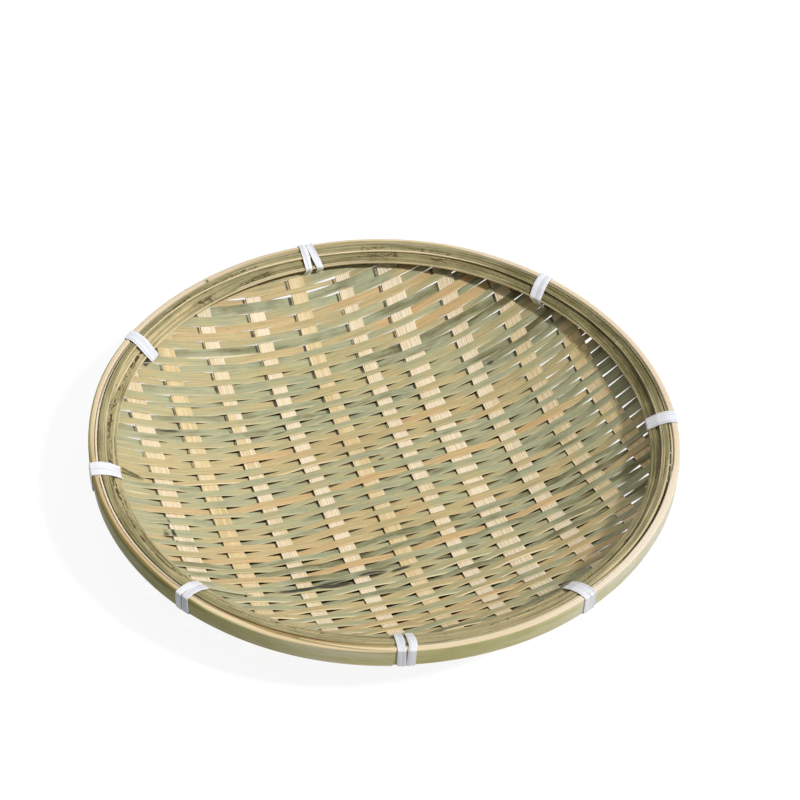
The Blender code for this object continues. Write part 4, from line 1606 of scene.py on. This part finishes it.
@dataclass(frozen=True)
class Studio:
    """The white studio: floor, soft sky, one lamp from the front right, and the camera."""

    target: tuple[float, float, float] = (0.0, 0.0, 0.02)
    distance: float = 0.8
    elevation: float = math.radians(44.78)
    roll: float = math.radians(1.67)
    focal_pixels: float = 2016.8
    frame: float = 800.0
    target_at: tuple[float, float] = (382.1, 451.4)
    sky: float = 0.42
    sky_from: tuple[float, float, float] = (0.0, 0.42, 0.907)
    floor_reach: float = 4.0
    floor_height: float = -0.1 * MM
    floor_colour: Colour = (0.45, 0.45, 0.44, 1.0)
    floor_seen: Colour = (0.13, 0.13, 0.13, 1.0)
    floor_painted_shadow: Colour = (0.16, 0.13, 0.08, 1.0)
    floor_glow: float = 0.91
    lamp: float = 2.6
    lamp_from: tuple[float, float, float] = (0.557, -0.321, 0.766)
    lamp_spread: float = math.radians(5)

    def build(self) -> None:
        """Builds everything that isn't the basket."""
        self._floor()
        self._sky()
        self._lamp()
        self._camera()

    def _white_to_the_eye(self, sheet: NodeSheet) -> Socket:
        """1 for rays from the camera, a gloss or a clear surface, and 0 for the light itself."""
        path = sheet.add("LightPath").outputs
        seen = sheet.sum_of("MAXIMUM", path["Is Camera Ray"], path["Is Glossy Ray"])
        return sheet.sum_of("MAXIMUM", seen, path["Is Transmission Ray"])

    def _floor(self) -> None:
        """A wide white floor that keeps the basket's shadow.

        To the eye it glows a little, so that the shadow stays light, but not under the middle of
        the basket, where no light reaches it; there it is painted dark brown, a painted shadow.
        """
        mesh = bpy.data.meshes.new("floor")
        corners = np.array([(-1, -1), (1, -1), (1, 1), (-1, 1)]) * self.floor_reach
        points = [(x, y, self.floor_height) for x, y in corners.tolist()]
        mesh.from_pydata(points, [], [(0, 1, 2, 3)])
        floor = bpy.data.objects.new("floor", mesh)
        bpy.context.scene.collection.objects.link(floor)
        material = bpy.data.materials.new("floor_white")
        material.use_nodes = True
        sheet = NodeSheet(material.node_tree)
        shader = material.node_tree.nodes["Principled BSDF"]
        seen = self._white_to_the_eye(sheet)
        place = sheet.add("TexCoord").outputs["Object"]
        oval = sheet.vector_sum("MULTIPLY", place, (0.87, 1.0, 1.0)).outputs["Vector"]
        under = sheet.vector_sum("DISTANCE", oval, (-1 * MM, 2 * MM, 0)).outputs["Value"]
        open_air = sheet.between(under, 80 * MM, 90 * MM)
        # Painted shadow: under the middle of the basket the floor shows dark brown to the eye.
        eye_colour = sheet.blend(open_air, self.floor_painted_shadow, self.floor_seen)
        sheet.feed(shader.inputs["Base Color"], sheet.blend(seen, self.floor_colour, eye_colour))
        glow = sheet.times(seen, sheet.times(open_air, self.floor_glow))
        sheet.feed(shader.inputs["Emission Strength"], glow)
        shader.inputs["Emission Color"].default_value = (1.0, 1.0, 1.0, 1.0)
        shader.inputs["Roughness"].default_value = 1.0
        shader.inputs["Specular IOR Level"].default_value = 0.0
        mesh.materials.append(material)

    def _sky(self) -> None:
        """The sky: white to the eye and, as light, a wide soft box above and behind."""
        world = bpy.data.worlds.new("studio_sky")
        bpy.context.scene.world = world
        world.use_nodes = True
        sheet = NodeSheet(world.node_tree)
        background = world.node_tree.nodes["Background"]
        background.inputs["Color"].default_value = (1.0, 1.0, 1.0, 1.0)
        seen = self._white_to_the_eye(sheet)
        ahead = sheet.add("TexCoord").outputs["Generated"]
        towards = sheet.vector_sum("DOT_PRODUCT", ahead, self.sky_from).outputs["Value"]
        lobe = sheet.sum_of("POWER", sheet.sum_of("MAXIMUM", towards, 0.0), 2.0)
        overhead = sheet.times_plus(lobe, self.sky * 1.5, self.sky * 0.28)
        sheet.feed(background.inputs["Strength"], sheet.sum_of("MAXIMUM", seen, overhead))

    def _lamp(self) -> None:
        """One lamp, a little soft."""
        light = bpy.data.lights.new("studio_lamp", "SUN")
        light.energy = self.lamp
        light.angle = self.lamp_spread
        lamp = bpy.data.objects.new("studio_lamp", light)
        lamp.rotation_mode = "QUATERNION"
        lamp.rotation_quaternion = Vector(self.lamp_from).to_track_quat("Z", "Y")
        bpy.context.scene.collection.objects.link(lamp)

    def _camera(self) -> None:
        """The camera at the photograph's angle. Its axes are turned by the roll, and its frame is
        shifted so that the target falls on its pixel."""
        rise, fall = math.sin(self.elevation), math.cos(self.elevation)
        level, up, back = Vector((1, 0, 0)), Vector((0, rise, fall)), Vector((0, -fall, rise))
        right = level * math.cos(self.roll) + up * math.sin(self.roll)
        upwards = up * math.cos(self.roll) - level * math.sin(self.roll)
        data = bpy.data.cameras.new("camera")
        data.sensor_width = 36.0
        data.lens = self.focal_pixels / self.frame * data.sensor_width
        data.shift_x = (self.frame / 2 - self.target_at[0]) / self.frame
        data.shift_y = (self.target_at[1] - self.frame / 2) / self.frame
        data.clip_start, data.clip_end = 0.01, 20.0
        camera = bpy.data.objects.new("camera", data)
        turn = Matrix((right, upwards, back)).transposed().to_4x4()
        place = Vector(self.target) + back * self.distance
        camera.matrix_world = Matrix.Translation(place) @ turn
        bpy.context.scene.collection.objects.link(camera)
        bpy.context.scene.camera = camera


def main() -> None:
    """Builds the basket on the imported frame, then the studio."""
    logging.basicConfig(level=logging.INFO, format="%(message)s")
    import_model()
    bpy.context.scene.view_settings.view_transform = "Standard"
    finishes = Finishes.make()
    weave = Weave()
    weave.build(finishes)
    Rim().build(weave.bowl, finishes)
    Studio().build()


if __name__ == "__main__":
    main()
